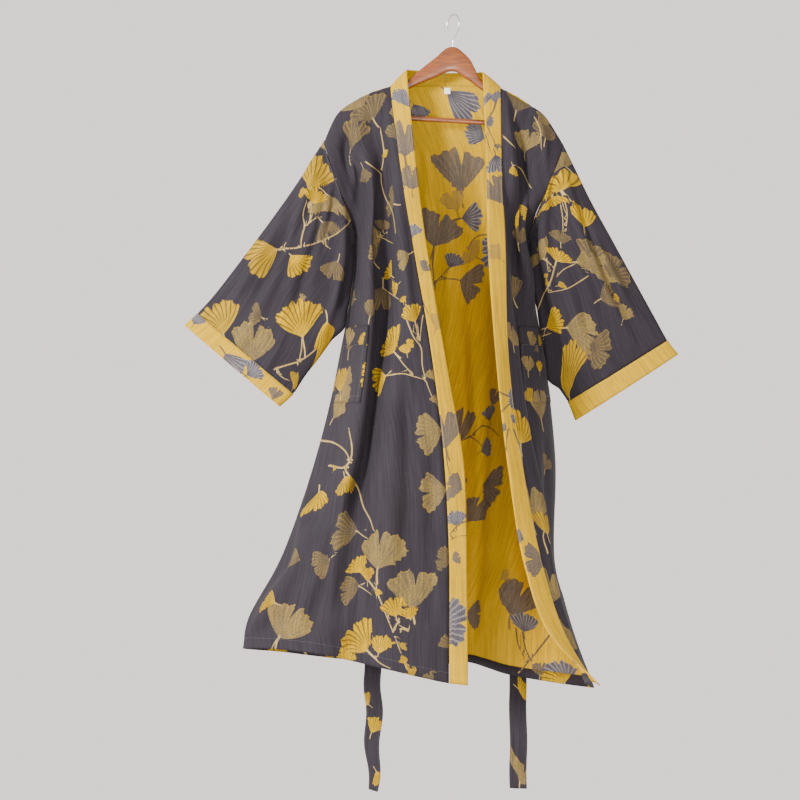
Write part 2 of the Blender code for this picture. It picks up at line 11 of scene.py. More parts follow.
import bmesh
import bpy
import numpy as np
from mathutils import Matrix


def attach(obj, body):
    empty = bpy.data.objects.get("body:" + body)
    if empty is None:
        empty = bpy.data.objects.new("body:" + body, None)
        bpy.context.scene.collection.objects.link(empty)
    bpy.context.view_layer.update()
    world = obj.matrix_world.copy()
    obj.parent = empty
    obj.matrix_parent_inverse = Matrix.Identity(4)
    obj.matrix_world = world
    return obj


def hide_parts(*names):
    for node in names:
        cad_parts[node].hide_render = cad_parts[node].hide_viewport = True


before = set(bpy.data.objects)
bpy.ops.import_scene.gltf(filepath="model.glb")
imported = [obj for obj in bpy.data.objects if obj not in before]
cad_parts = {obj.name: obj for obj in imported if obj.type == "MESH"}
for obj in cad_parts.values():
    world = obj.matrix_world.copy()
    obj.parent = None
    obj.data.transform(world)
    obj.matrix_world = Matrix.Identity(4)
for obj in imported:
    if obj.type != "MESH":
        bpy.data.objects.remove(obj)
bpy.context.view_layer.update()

MM = 0.001
FINE = 6  # steps here for one step of the part's grid
WALL = 1.3
SEAM_GAP = 0.1
LAY_GAP = 0.4  # between a panel and what is sewn on it
RIDGE_INSET = 0.5
MOST_TURN = math.radians(130)
SHOULDER_ROLL = 14.0

# Levels down the body, and the rows between one level and the next
HEIGHTS = (-360.0, -470.0, -720.0, -920.0, -1120.0, -1250.0)  # chest to calf
ROWS = (2, 4, 3, 7, 5, 4, 3, 2)  # top to roll, then to chest, underarm, waist and so on
ARMHOLE_ROWS = sum(ROWS[:3])
POCKET_ROWS = (14, 18)  # mouth and bottom

# Neck opening
NECK_CENTRE = -15.0
NECK_HALF_WIDTH = 113.5
NECK_DEPTH = 38.0
NECK_SEAM_HEIGHT = -149.0
NECK_RISE_BEHIND = 8.0
COLLAR_RISE_BEHIND = 5.0
COLLAR_LEAN = 6.0  # of the band's free edge, outwards behind the neck
NECKBAND_STEPS = 7  # from the centre back to a shoulder seam
NECK_FALL = 2.0  # of the back, outwards just under the neck seam

# Each rail: its place, its top point, x then y at chest, underarm, waist, hip, knee, calf
# and hem, and the height of the hem there.
Rail = namedtuple("Rail", "place top x y hem")

LEFT_FRONT = (
    Rail("free edge", (-95, 2, -112), (-72, -58, -17, 18, 24, 25, 26),
         (-62, -80, -125, -130, -135, -135, -135), -1368),
    Rail("band seam", (-129, 0, -147), (-104, -86, -45, -22, -12, -12, -12),
         (-66, -86, -133, -140, -142, -142, -142), -1363),
    Rail("front ridge", (-150, 0, -154), (-115, -103, -110, -120, -134, -134, -130),
         (-62, -84, -130, -138, -142, -144, -145), -1336),
    Rail("long valley", (-182, 0, -167), (-141, -142, -156, -186, -208, -214, -222),
         (-34, -44, -92, -92, -96, -98, -100), -1320),
    Rail("side ridge", (-208, 0, -180), (-166, -167, -178, -211, -250, -256, -262),
         (-52, -68, -118, -114, -112, -112, -112), -1310),
    Rail("side pleat", (-238, 0, -203), (-193, -190, -208, -246, -316, -368, -364),
         (-20, -34, -58, -54, -66, -78, -85), -1301),
    Rail("armhole and side seam", (-265, 0, -257), (-234, -203, -238, -286, -355, -424, -433),
         (-44, 4, 15, 10, -10, -25, -30), -1307),
)

RIGHT_FRONT = (
    Rail("free edge", (61, 2, -117), (67, 66, 79, 100, 133, 180, 279),
         (-85, -125, -225, -245, -250, -250, -255), -1351),
    Rail("band seam", (98, 0, -151), (99, 103, 105, 130, 170, 212, 266),
         (-70, -105, -200, -220, -222, -222, -225), -1347),
    Rail("fold edge", (124, 0, -167), (112, 112, 129, 156, 191, 217, 264),
         (-60, -90, -165, -185, -190, -190, -190), -1352),
    Rail("inner valley", (152, 0, -184), (130, 126, 124, 149, 187, 216, 262),
         (-30, -48, -118, -132, -138, -138, -138), -1362),
    Rail("side ridge", (184, 0, -203), (156, 146, 158, 184, 200, 227, 274),
         (-46, -52, -74, -80, -80, -80, -80), -1376),
    Rail("armhole and side seam", (225, 0, -263), (192, 156, 191, 212, 209, 237, 288),
         (-44, 4, 25, 25, 25, 22, 20), -1394),
)

# A top given as one number is an angle round the neck opening, from its left end.
BACK = (
    Rail("left side seam", (-265, 0, -257), (-236, -203, -238, -286, -355, -424, -433),
         (36, 4, 15, 10, -10, -25, -30), -1307),
    Rail("left side fold", (-205, 0, -179), (-196, -184, -206, -242, -302, -345, -350),
         (54, 48, 64, 70, 62, 55, 55), -1325),
    Rail("left shoulder fold", (-129, 0, -147), (-122, -124, -136, -157, -197, -226, -230),
         (38, 42, 44, 44, 44, 40, 40), -1337),
    Rail("left pleat", 50, (-68, -68, -72, -82, -106, -120, -124), (54, 68, 86, 94, 98, 96, 96), -1345),
    Rail("centre ridge", 92, (-4, -6, -6, -11, -26, -35, -38), (44, 48, 46, 46, 44, 42, 42), -1350),
    Rail("inside fold line", 130, (62, 70, 63, 63, 50, 36, 32), (62, 78, 98, 104, 104, 98, 88), -1350),
    Rail("right shoulder fold", (98, 0, -151), (102, 104, 112, 124, 122, 116, 114),
         (44, 48, 46, 40, 30, 16, 8), -1365),
    Rail("right side fold", (168, 0, -193), (152, 138, 160, 178, 180, 190, 222),
         (54, 46, 66, 64, 50, 28, 8), -1384),
    Rail("right side seam", (225, 0, -263), (192, 156, 191, 212, 209, 237, 288),
         (36, 4, 25, 25, 25, 22, 20), -1394),
)
FRONT_SPANS = {"left": (2, 3, 2, 3, 3), "right": (2, 2, 3, 4)}
BACK_SPANS = (3, 3, 3, 3, 3, 3, 3, 3)
POCKET_EDGE_LIFT = 0.9  # more at its inner edge, over the sharp side ridge
POCKET_SPANS = {"left": (7, 12), "right": (5, 10)}  # columns from the band seam

# Each sleeve section: top and bottom edge (x, z), middle depth, reach to front and back,
# and the height and place of the soft ridge on its front layer.
Section = namedtuple("Section", "top bottom middle front back ridge at")

SLEEVES = {
    "left": (
        Section((-292, -302), (-215, -522), -8, 32, 30, 6, 0.35),
        Section((-325, -354), (-222, -580), -14, 30, 26, 10, 0.40),
        Section((-379, -431), (-233, -640), -19, 27, 22, 10, 0.46),
        Section((-441, -513), (-272, -702), -15, 25, 21, 7, 0.52),
        Section((-497, -584), (-307, -747), -9, 23, 20, 4, 0.60),
        Section((-528, -617), (-331, -783), -6, 22, 19, 2, 0.66),
        Section((-555, -642), (-359, -809), -6, 22, 19, 2, 0.66),
    ),
    "right": (
        Section((248, -313), (174, -550), -10, 32, 28, 8, 0.40),
        Section((283, -387), (186, -629), -18, 30, 24, 10, 0.44),
        Section((327, -468), (197, -696), -22, 28, 21, 10, 0.48),
        Section((372, -549), (204, -747), -17, 25, 20, 7, 0.52),
        Section((418, -631), (221, -775), -11, 23, 19, 4, 0.56),
        Section((442, -673), (237, -799), -8, 22, 19, 2, 0.60),
        Section((464, -702), (253, -838), -8, 22, 19, 2, 0.60),
    ),
}
SLEEVE_SPANS = (2, 2, 2, 2, 2, 1)
SLEEVE_START = 0.8  # the tube starts this far outside the armhole's edge
UNDERARM_CLEAR = 7.6  # and this much further at the underarm
RIDGE_WIDTH = 0.16  # of the sleeve's width
SLEEVE_FULLNESS = 0.8  # below 1 the tube is flatter in the middle and fuller at its edges

# Belt, loops and label
BELT_WIDTH = 36.0
BELT_WALL = 1.4
BELT_SEAM_INSET = 2.2  # of its stitches, from its edges
BELT_HEIGHT = -690.0
BELT_LEFT = -167.0
BELT_RIGHT = 135.0
BELT_TURN = 26.0  # radius where it leaves its loop and falls
BELT_TURN_ANGLES = (30, 60, 90)
BELT_ENDS = {"left": -1622.0, "right": -1601.0}
BELT_TWIST = {"left": math.radians(58), "right": math.radians(12)}
BELT_TWIST_SHARE = 0.2  # of the tail, from its end
BELT_TAIL_SPANS = 26
BELT_BACK_SPANS = 10
BELT_POINTS = 9  # across the belt
BELT_FLARE = {"left": 3.2, "right": 0.9}  # of the edges near its ends
BELT_FLARE_AT = (1330, 1430)  # down from the hook
BELT_CUP = 0.7
BELT_LIFT = 2.4  # middle of the belt's wall over the middle of the back's
STENCIL = (-1, -0.5, 0, 0.5, 1)  # places looked at across what lies on the back
BELT_EASE = 2  # steps
BELT_MARGIN = 1.0  # of cloth looked at past the belt's and loops' edges
LOOP_WIDTH = 9.0
LOOP_HEIGHT = 60.0
LOOP_CLEAR = 3.0
LOOP_WALL = 1.0
LABEL_WIDTH = 13.0
LABEL_HEIGHT = 13.0
LABEL_DROP = 4.0
LABEL_WALL = 1.0
TAPE_WALL = 0.7
LABEL_CREST = 0.3

# Hanger
HOOK_WIRE = 3.6
HOOK_RADIUS = 20.0
HOOK_TURN = math.radians(52)
HOOK_RING = (215, -50, -15)  # degrees from the tip round to the neck
HOOK_NECK = ((7.5, -41.5), (1.0, -50.0), (0.0, -60.0), (0.0, -76.0))  # along the ring's plane, z
HANGER_END_LEFT = -229.0
HANGER_END_RIGHT = 205.0
HANGER_DEPTH = 14.0
HANGER_SIDES = 16
HANGER_ROUNDING = 0.6  # 1 is an ellipse, and less is closer to a box
# The wood where it stands clear of the cloth: x, its top and its underside
HANGER_CROWN = (
    (-118, -144, -166),
    (-91, -133, -152),
    (-77, -120, -145),
    (-58, -104, -137),
    (-35, -86, -128),
    (-14, -68, -118),
    (-2, -65, -116),
    (8, -67, -118),
    (20, -76, -127),
    (35, -91, -136),
    (46, -112, -145),
    (57, -133, -153),
    (84, -148, -170),
)
ARM_HEIGHT = 24.0
ARM_STEPS = 44  # from an end to the crown
ARM_CLEAR = 1.2  # under the middle of the shoulders' cloth
BAR_RADIUS = 5.0
BAR_SIDES = 28
WIRE_SIDES = 20
BAR_LEFT = (-218.0, -205.6)
BAR_RIGHT = (186.0, -228.5)

# Bands
BAND_SEAM_INSET = 0.8
BAND_SPANS = 12
BAND_CROWN = 0.9  # its middle stands out this far
BAND_WAVE = 0.5
BAND_SINK = 0.2  # of the whole band, inwards
BAND_STITCHES = (2.6, 3.2)  # their insets at the seam and at the free edge

# Sewing
STITCH_STEP = 4.2
STITCH_LENGTH = 2.9
STITCH_HALF = 0.35

# One fan leaf: half its spread in radians, how much that varies, its cleft and its stalk
LEAF_HALF = 0.95
LEAF_HALF_MORE = 0.35
CLEFT_AT = 0.12
CLEFT_WIDTH = 0.06
PALE_NOTCH = 0.36
BRIGHT_NOTCH = 0.14
LEAF_STALK = 0.42
STALK_BEND = 0.35
STALK_HALF = 0.022
TWIG_TAPER = 0.45  # of its half width, lost by its end
LEAF_SEARCH = 50.0  # a leaf is looked for this near
FAR_OFF = 60.0  # and this is stored where none is

# Tones of the woven leaves: bright, softer bright, pale, dim
BRIGHT = (1, 2)
PALE = (3, 4)

# Leaves that show: where the leaf's foot is (x, z), its length, the way it points (degrees
# from straight up, clockwise) and its tone. Placed in like places to the photograph.
LEAVES = {
    "sleeve_left": (
        (-293, -366, 84, 22, 2), (-228, -318, 35, -8, 1), (-231, -346, 37, 130, 3),
        (-300, -370, 18, -80, 1), (-291, -394, 33, 35, 1), (-262, -373, 51, 145, 3),
        (-362, -487, 68, -108, 2), (-333, -500, 49, 140, 1), (-310, -668, 70, -8, 1),
        (-260, -635, 53, 168, 1), (-420, -719, 76, 8, 3), (-246, -280, 56, -22, 3),
        (-208, -365, 49, 150, 4), (-270, -431, 45, 150, 4), (-237, -512, 41, 200, 4),
        (-393, -627, 33, -70, 4), (-474, -661, 64, -25, 2), (-331, -770, 23, 0, 2),
        (-313, -590, 12, 40, 3),
    ),
    "front_left": (
        (-213, -284, 58, 15, 4), (-188, -193, 49, -40, 3), (-122, -397, 45, -60, 4),
        (-163, -514, 45, -20, 4), (-114, -263, 37, -10, 4), (-171, -629, 36, 20, 4),
        (-251, -1117, 40, -110, 4), (-385, -1324, 2, 0, 4), (-149, -457, 41, -90, 3),
        (-126, -543, 35, -50, 1), (-114, -562, 24, -105, 1), (-145, -565, 51, 200, 4),
        (-92, -501, 38, -100, 3), (-80, -640, 38, -12, 1), (-102, -600, 14, -10, 1),
        (-121, -700, 56, -35, 1), (-138, -747, 50, -100, 1), (-96, -703, 22, 0, 1),
        (-92, -685, 12, 20, 1), (-26, -859, 54, -95, 3), (-16, -977, 58, -95, 3),
        (-42, -755, 22, -20, 3), (-36, -803, 18, -10, 3), (-221, -950, 38, 175, 2),
        (-244, -941, 12, 30, 1), (-275, -984, 51, 178, 1), (-196, -1061, 59, -82, 4),
        (-155, -1134, 76, 10, 3), (-189, -1144, 34, -25, 1), (-174, -1161, 28, 5, 1),
        (-191, -1170, 40, -100, 4), (-84, -1214, 78, -2, 3), (-118, -1229, 40, -18, 1),
        (-89, -1234, 26, -12, 1), (-175, -1300, 66, -38, 1), (-221, -1300, 32, 190, 1),
        (-153, -1304, 36, 20, 1), (-355, -1277, 71, 24, 3), (-363, -1207, 35, -60, 2),
        (-156, -1188, 14, 20, 1), (-106, -1294, 14, 20, 2), (-100, -1322, 14, -10, 1),
        (-84, -1348, 18, -25, 2), (-50, -1362, 24, -10, 4), (-231, -766, 51, 95, 3),
        (-233, -779, 49, -15, 2), (-246, -832, 49, 60, 3), (-215, -697, 45, 5, 4),
        (-145, -449, 25, 30, 4), (-100, -216, 33, -30, 3), (-141, -282, 14, 160, 1),
        (-186, -319, 31, 185, 4), (-164, -219, 54, -30, 4), (-202, -590, 29, -40, 4),
        (-6, -1115, 32, -80, 4), (-314, -1121, 31, -60, 4), (0, -1295, 36, -30, 4),
    ),
    "front_right": (
        (129, -202, 54, 20, 4), (205, -224, 46, -25, 3), (131, -478, 41, -10, 4),
        (165, -510, 37, 20, 4), (175, -634, 33, 10, 3), (147, -287, 47, -2, 3),
        (120, -319, 18, 170, 1), (150, -406, 27, 160, 2), (188, -260, 41, 20, 4),
        (121, -592, 45, -20, 4), (114, -686, 40, 10, 3), (126, -881, 67, 6, 1),
        (149, -738, 32, 10, 3), (175, -738, 23, 10, 1), (177, -836, 61, -8, 3),
        (166, -693, 16, 60, 4), (155, -799, 28, -30, 2), (149, -1034, 71, -4, 3),
        (180, -1061, 44, -10, 2), (188, -1195, 67, -8, 3), (210, -1299, 68, -5, 3),
        (184, -937, 32, 20, 4), (222, -1332, 40, -30, 2),
    ),
    "sleeve_right": (
        (279, -513, 53, 10, 4), (231, -318, 49, -20, 3), (299, -590, 41, 60, 4),
        (279, -682, 49, 100, 4), (346, -631, 29, 30, 3), (221, -369, 68, -10, 1),
        (204, -377, 33, 192, 1), (266, -443, 51, 0, 1), (186, -508, 60, -35, 3),
        (219, -476, 31, 0, 4), (210, -512, 31, 12, 1), (248, -515, 67, 75, 3),
        (312, -533, 51, 60, 4), (191, -647, 41, 78, 1), (230, -648, 61, 85, 3),
        (241, -795, 64, 14, 2), (190, -547, 10, -30, 2), (213, -562, 14, 60, 2),
        (194, -561, 10, -60, 2), (172, -251, 37, 20, 4), (329, -590, 14, 60, 2),
    ),
    "back": (
        (16, -360, 88, 2, 3), (19, -415, 48, 85, 1), (-39, -474, 69, 12, 3), (9, -401, 42, -15, 4),
        (52, -496, 38, -60, 4), (-6, -519, 31, 20, 1), (15, -545, 59, 102, 3),
        (-7, -766, 21, -95, 1), (7, -894, 78, -2, 3), (68, -975, 62, 95, 3), (120, -1241, 79, 5, 3),
        (147, -1277, 42, -8, 1), (30, -1250, 40, 90, 3), (234, -1384, 54, -30, 1),
        (180, -1367, 29, 0, 3), (84, -806, 38, 10, 3), (80, -839, 34, -20, 1),
        (62, -905, 30, 60, 1), (32, -1053, 51, 30, 3), (-12, -151, 61, 142, 1),
        (66, -249, 38, -52, 1), (-83, -179, 33, 160, 1), (18, -959, 25, 150, 3),
        (-47, -669, 29, 20, 4), (99, -1171, 21, 40, 4),
    ),
    "band_left": (
        (-89, -193, 37, -50, 1), (-100, -300, 76, -6, 3), (-86, -367, 47, 5, 3),
        (-88, -467, 28, 10, 1), (-48, -1243, 72, 88, 1), (2, -1047, 30, 0, 1),
        (-18, -891, 72, -8, 3), (14, -975, 36, -70, 3), (0, -779, 24, 40, 1),
        (-38, -654, 32, 30, 4), (17, -593, 2, 0, 4), (-6, -1115, 18, 70, 3), (-63, -536, 24, 30, 3),
    ),
    "band_right": (
        (85, -186, 25, 20, 1), (75, -178, 19, -60, 1), (84, -295, 39, 176, 1),
        (99, -399, 61, -30, 3), (91, -514, 32, -40, 4), (66, -230, 16, 90, 1),
        (126, -795, 28, -90, 1), (110, -842, 18, 30, 1), (97, -854, 14, -60, 1),
        (130, -1068, 25, -70, 1), (176, -1109, 51, -95, 3), (139, -897, 16, -20, 1),
        (88, -284, 12, 20, 3), (240, -1324, 27, -60, 3), (203, -1264, 2, 0, 4),
    ),
}
TWIGS = {
    "sleeve_left": (
        (2.0, ((-362, -487), (-317, -484), (-271, -470), (-228, -446), (-209, -420))),
        (1.6, ((-314, -480), (-306, -445), (-297, -435), (-291, -394))),
        (1.4, ((-304, -441), (-309, -418), (-301, -389))),
        (1.3, ((-297, -435), (-284, -425), (-271, -421))),
        (1.8, ((-310, -668), (-313, -696), (-320, -723))),
        (2.0, ((-367, -731), (-340, -723), (-316, -715), (-291, -698), (-270, -676))),
        (1.3, ((-272, -268), (-262, -278), (-252, -285))),
        (1.5, ((-233, -270), (-215, -285), (-204, -296))),
        (1.2, ((-365, -737), (-351, -750), (-337, -756))),
        (1.2, ((-272, -470), (-262, -480), (-253, -486))),
    ),
    "front_left": (
        (1.6, ((-178, -309), (-165, -319), (-149, -328))),
        (1.3, ((-150, -240), (-143, -286), (-149, -341), (-142, -374), (-126, -408), (-118, -457))),
        (1.2, ((-155, -459), (-141, -465), (-126, -475))),
        (1.2, ((-143, -567), (-128, -580), (-113, -592))),
        (1.5, ((-98, -630), (-82, -671), (-68, -690), (-65, -729), (-54, -769), (-46, -789))),
        (1.1, ((-80, -640), (-70, -687))),
        (1.1, ((-64, -626), (-68, -654), (-70, -687))),
        (1.5, ((-138, -747), (-104, -743), (-82, -749), (-60, -755))),
        (1.4, ((-120, -700), (-99, -729), (-78, -747))),
        (2.2, ((-271, -880), (-247, -883), (-220, -899), (-209, -920))),
        (2.2, ((-253, -930), (-223, -932), (-209, -914), (-207, -888), (-213, -856))),
        (2.0, ((-219, -938), (-195, -975), (-183, -1013), (-169, -1037), (-162, -1058))),
        (1.3, ((-155, -1134), (-157, -1156), (-156, -1176))),
        (2.0, ((-172, -1159), (-156, -1180), (-147, -1201), (-135, -1231), (-115, -1282), (-94, -1340))),
        (1.3, ((-191, -1172), (-178, -1179), (-168, -1186))),
        (1.2, ((-118, -1231), (-112, -1250), (-110, -1272))),
        (1.2, ((-98, -1234), (-104, -1252), (-110, -1270))),
        (1.2, ((-89, -1234), (-92, -1254), (-99, -1274))),
        (1.6, ((-174, -1299), (-152, -1321), (-128, -1333))),
        (1.4, ((-355, -1277), (-366, -1292), (-372, -1307))),
        (1.4, ((-196, -1061), (-187, -1068), (-174, -1075))),
        (1.4, ((-225, -751), (-221, -729), (-219, -709))),
        (1.4, ((-26, -859), (-8, -867), (6, -883))),
        (1.4, ((-16, -977), (0, -973))),
    ),
    "front_right": (
        (1.6, ((103, -256), (113, -268), (125, -280))),
        (1.5, ((121, -317), (137, -318), (158, -360))),
        (1.3, ((168, -214), (178, -239), (180, -282))),
        (1.5, ((180, -1096), (171, -1061), (185, -1037))),
        (1.4, ((126, -881), (131, -932), (141, -991))),
        (1.4, ((141, -742), (160, -746), (184, -744))),
    ),
    "sleeve_right": (
        (1.8, ((210, -512), (197, -556), (184, -583), (170, -622))),
        (1.2, ((190, -508), (193, -534))),
        (1.3, ((246, -519), (225, -529), (208, -547))),
        (1.4, ((273, -544), (251, -558), (233, -568), (196, -576))),
        (1.4, ((221, -371), (232, -412), (229, -448))),
        (1.2, ((219, -396), (223, -423), (224, -452))),
        (1.4, ((266, -443), (267, -457))),
        (1.4, ((172, -653), (194, -647))),
        (1.4, ((174, -667), (197, -660))),
    ),
    "back": (
        (2.0, ((-39, -474), (-41, -513), (-36, -566))),
        (1.5, ((-41, -555), (-24, -537), (-6, -517))),
        (1.4, ((-39, -547), (-14, -542), (16, -545))),
        (1.4, ((19, -415), (1, -422))),
        (1.6, ((79, -448), (59, -449), (44, -458), (33, -480))),
        (2.0, ((24, -879), (40, -871), (64, -850))),
        (1.6, ((29, -869), (49, -880), (66, -895))),
        (2.0, ((145, -1277), (149, -1307), (162, -1338))),
        (1.8, ((131, -1272), (135, -1303), (147, -1330))),
        (2.4, ((206, -1280), (181, -1310), (159, -1336), (134, -1363))),
        (1.6, ((64, -850), (80, -854), (98, -871))),
        (1.8, ((7, -894), (10, -925), (5, -959))),
        (1.6, ((121, -1240), (123, -1252))),
    ),
    "band_left": (
        (1.6, ((-100, -300), (-98, -336), (-102, -369))),
        (1.8, ((24, -1038), (6, -1047), (-11, -1065))),
        (1.5, ((24, -1068), (6, -1069), (-11, -1077))),
        (1.6, ((-76, -563), (-66, -593), (-52, -626))),
        (1.6, ((-18, -891), (-16, -919), (-10, -947))),
    ),
    "band_right": (
        (2.2, ((88, -180), (81, -203), (67, -223))),
        (1.4, ((66, -230), (78, -259), (91, -290))),
        (1.4, ((64, -251), (70, -274), (77, -295))),
        (1.8, ((85, -781), (102, -789), (114, -793))),
        (1.8, ((89, -818), (102, -805), (114, -795))),
        (1.8, ((111, -852), (119, -873), (127, -897))),
        (1.5, ((101, -854), (97, -875), (97, -896))),
        (1.4, ((116, -656), (109, -686), (111, -716))),
    ),
}
FOLDS = {
    "front_left": (
        (6, 12, ((-114, -346), (-100, -471), (-92, -594), (-84, -695))),
        (8, 24, ((-124, -745), (-124, -855), (-128, -975), (-136, -1095), (-142, -1235))),
        (-8, 12, ((-141, -198), (-149, -385), (-153, -653), (-177, -856), (-197, -1038))),
        (6, 9, ((-167, -469), (-169, -648), (-187, -827), (-211, -966))),
        (10, 15, ((-295, -1011), (-320, -1135), (-371, -1219), (-413, -1269))),
        (6, 20, ((-207, -1179), (-219, -1260), (-231, -1310))),
        (-7, 15, ((-248, -997), (-261, -1138), (-296, -1279))),
        (4, 9, ((-188, -214), (-205, -301), (-211, -394))),
        (-4, 9, ((-50, -835), (-44, -1035), (-50, -1235))),
        (-5, 10, ((-100, -775), (-94, -935), (-102, -1115))),
        (4, 9, ((-348, -1043), (-378, -1125), (-403, -1187))),
        (-4, 7, ((-209, -218), (-223, -280), (-209, -363))),
    ),
    "front_right": (
        (8, 11, ((101, -159), (115, -345), (137, -488), (155, -642))),
        (-7, 10, ((125, -197), (145, -343), (169, -485), (183, -629))),
        (-5, 8, ((87, -199), (100, -347), (115, -511), (126, -655))),
        (4, 10, ((159, -856), (173, -1036), (197, -1188), (240, -1316))),
        (4, 8, ((159, -174), (180, -239), (191, -323))),
        (-4, 8, ((185, -876), (193, -1039), (219, -1185))),
    ),
    "sleeve_left": (
        (6, 12, ((-275, -279), (-315, -405), (-366, -549), (-428, -661))),
        (-5, 9, ((-254, -302), (-278, -447), (-314, -570), (-350, -682))),
        (6, 10, ((-221, -355), (-227, -487), (-243, -590), (-270, -662))),
        (-6, 8, ((-211, -385), (-215, -507), (-229, -600))),
        (4, 8, ((-330, -384), (-393, -497), (-460, -606))),
        (-4, 8, ((-295, -343), (-346, -467), (-408, -590), (-455, -672))),
        (3, 6, ((-315, -590), (-356, -682), (-394, -744))),
        (3, 5, ((-283, -333), (-303, -395), (-335, -467))),
        (-3, 5, ((-241, -334), (-247, -395), (-270, -488))),
    ),
    "sleeve_right": (
        (6, 12, ((212, -280), (254, -426), (308, -570), (363, -682))),
        (-5, 9, ((196, -323), (221, -468), (264, -611), (301, -738))),
        (6, 10, ((183, -344), (185, -446), (204, -590), (239, -723))),
        (-5, 8, ((173, -365), (170, -486), (188, -631))),
        (4, 8, ((255, -385), (314, -518), (390, -655))),
        (-4, 8, ((231, -322), (279, -467), (331, -590))),
        (3, 6, ((268, -652), (300, -723), (326, -764))),
    ),
    "back": (
        (4, 9, ((37, -584), (47, -753), (55, -880), (60, -1050))),
        (-4, 7, ((20, -648), (25, -795), (31, -943))),
        (-5, 12, ((-54, -231), (-51, -417), (-47, -648))),
        (5, 14, ((-22, -231), (-26, -439), (-24, -648))),
        (4, 10, ((99, -1130), (123, -1231), (160, -1334))),
        (-4, 9, ((72, -1133), (67, -1300))),
    ),
}

# Leaves on the small pieces: pocket bands, cuffs and the belt
POCKET_LEAVES = {
    "left": ((-216, -687, 40, 10, 3), (-184, -690, 30, -30, 1)),
    "right": ((156, -690, 34, 20, 3), (176, -686, 24, 30, 1)),
}
CUFF_LEAVES = {
    "left": (
        (-470, -700, 52, 150, 1), (-535, -640, 26, 30, 1), (-425, -745, 34, 60, 1),
        (-372, -795, 26, 20, 3),
    ),
    "right": ((300, -818, 20, 60, 4),),
}
CUFF_TWIGS = {
    "left": (
        (1.8, ((-455, -722), (-440, -735), (-420, -752))),
        (1.4, ((-440, -735), (-448, -748), (-440, -760))),
    ),
    "right": (),
}
CUFF_BACK_LEAVES = {
    "left": ((-440, -730, 40, -40, 1), (-500, -670, 44, 110, 3)),
    "right": ((420, -725, 46, 200, 1), (330, -790, 40, 40, 3)),
}
BELT_LEAVES = (
    (-170, -1500, 34, 20, 1), (-176, -1440, 26, -40, 2), (-160, -1580, 30, 150, 1),
    (135, -1395, 30, 60, 1), (138, -1590, 44, 10, 3), (128, -1560, 20, -40, 3),
)

# Sprays where the photograph doesn't show the cloth: (x, z) of the twig's foot, its way,
# its length and its seed
BACK_SPRAYS = (
    (-190, -300, 165, 190, 3), (-150, -620, 190, 230, 6), (-210, -900, 185, 230, 8),
    (-290, -1130, 170, 190, 10), (-150, -1060, 175, 220, 11), (165, -300, 175, 200, 5),
)
SLEEVE_SPRAYS = {
    "left": ((-290, -380, 215, 200, 14), (-330, -520, 190, 200, 15), (-430, -590, 160, 180, 16)),
    "right": ((250, -380, 150, 210, 17), (300, -520, 165, 200, 18), (390, -620, 170, 160, 19)),
}
BELT_SPRAYS = ((-160, -820, 178, 260, 20), (134, -900, 182, 260, 21), (-60, -692, 90, 120, 22))

# Folds of the back that only show from behind
HIDDEN_BACK_FOLDS = (
    (4, 11, ((-150, -260), (-140, -420), (-150, -600))),
    (-5, 12, ((-110, -300), (-100, -480), (-112, -640))),
    (4, 10, ((95, -280), (102, -430), (110, -600))),
    (-4, 11, ((140, -330), (135, -480), (150, -640))),
    (6, 15, ((-230, -760), (-262, -960), (-300, -1180))),
    (-5, 13, ((-150, -780), (-190, -1000), (-220, -1230))),
    (5, 14, ((170, -800), (168, -1000), (178, -1250))),
    (-5, 12, ((90, -780), (84, -980), (80, -1240))),
)
FOLD_TOP = 14.0  # below the top seam, where folds start
FOLD_SIDES = {"back": 26, "front": 22}  # in from the side seams, where folds reach full height
# Small waves: the seed and the height of each piece's
RIPPLES = {"back": (11, 1.5), "left": (21, 1.4), "right": (22, 1.4), "sleeve": (31, 1.2)}
SEAM_DIP = 0.9
SEAM_DIP_WIDTH = 3.5
GATHER_LIFT = 0.5  # of the back, under the neck seam
GATHER_FADE = 46.0  # down the back
GATHER_ENDS = (88.0, 112.0)  # out from the middle, full and gone
CRIMP_ENDS = (62.0, 84.0)  # the same for the neckband's, along it
COLLAR_CRIMP = 1.3  # of the neckband, behind the neck and at its seam
SLEEVE_FOLD_TOP = 20.0  # below the armhole, where folds reach full height
SLEEVE_FOLD_FOOT = (4.0, 22.0)  # above the mouth, where they end and where they are full
LAYER_EDGE = (0.05, 0.35)  # of a layer's bulge, from no folds to full ones
CUFF_DIP = 0.8  # of the sleeve's cloth, drawn in at the cuff's seam
CUFF_DIP_WIDTH = 3.0
CUFF_GAP = 0.25
SLEEVE_GAP = 0.2  # left between a sleeve and the side seam beside it
FOLD_MORE = 2.1  # times as deep as the table's, in the fronts and the sleeves' shown layers
NECK_REACH = 6.0  # the back's top row meets the band where it is this near
HEM_DEEP = 21.0
HEM_LAY = 1.5
POCKET_SLACK = 1.6
POCKET_BAND = 38.0
POCKET_BAND_WALL = 0.9
POCKET_BAND_LAY = 0.5  # over the pocket's face
POCKET_STEP = 6.4  # of the grid, down a pocket
BAND_WALL = 2.2

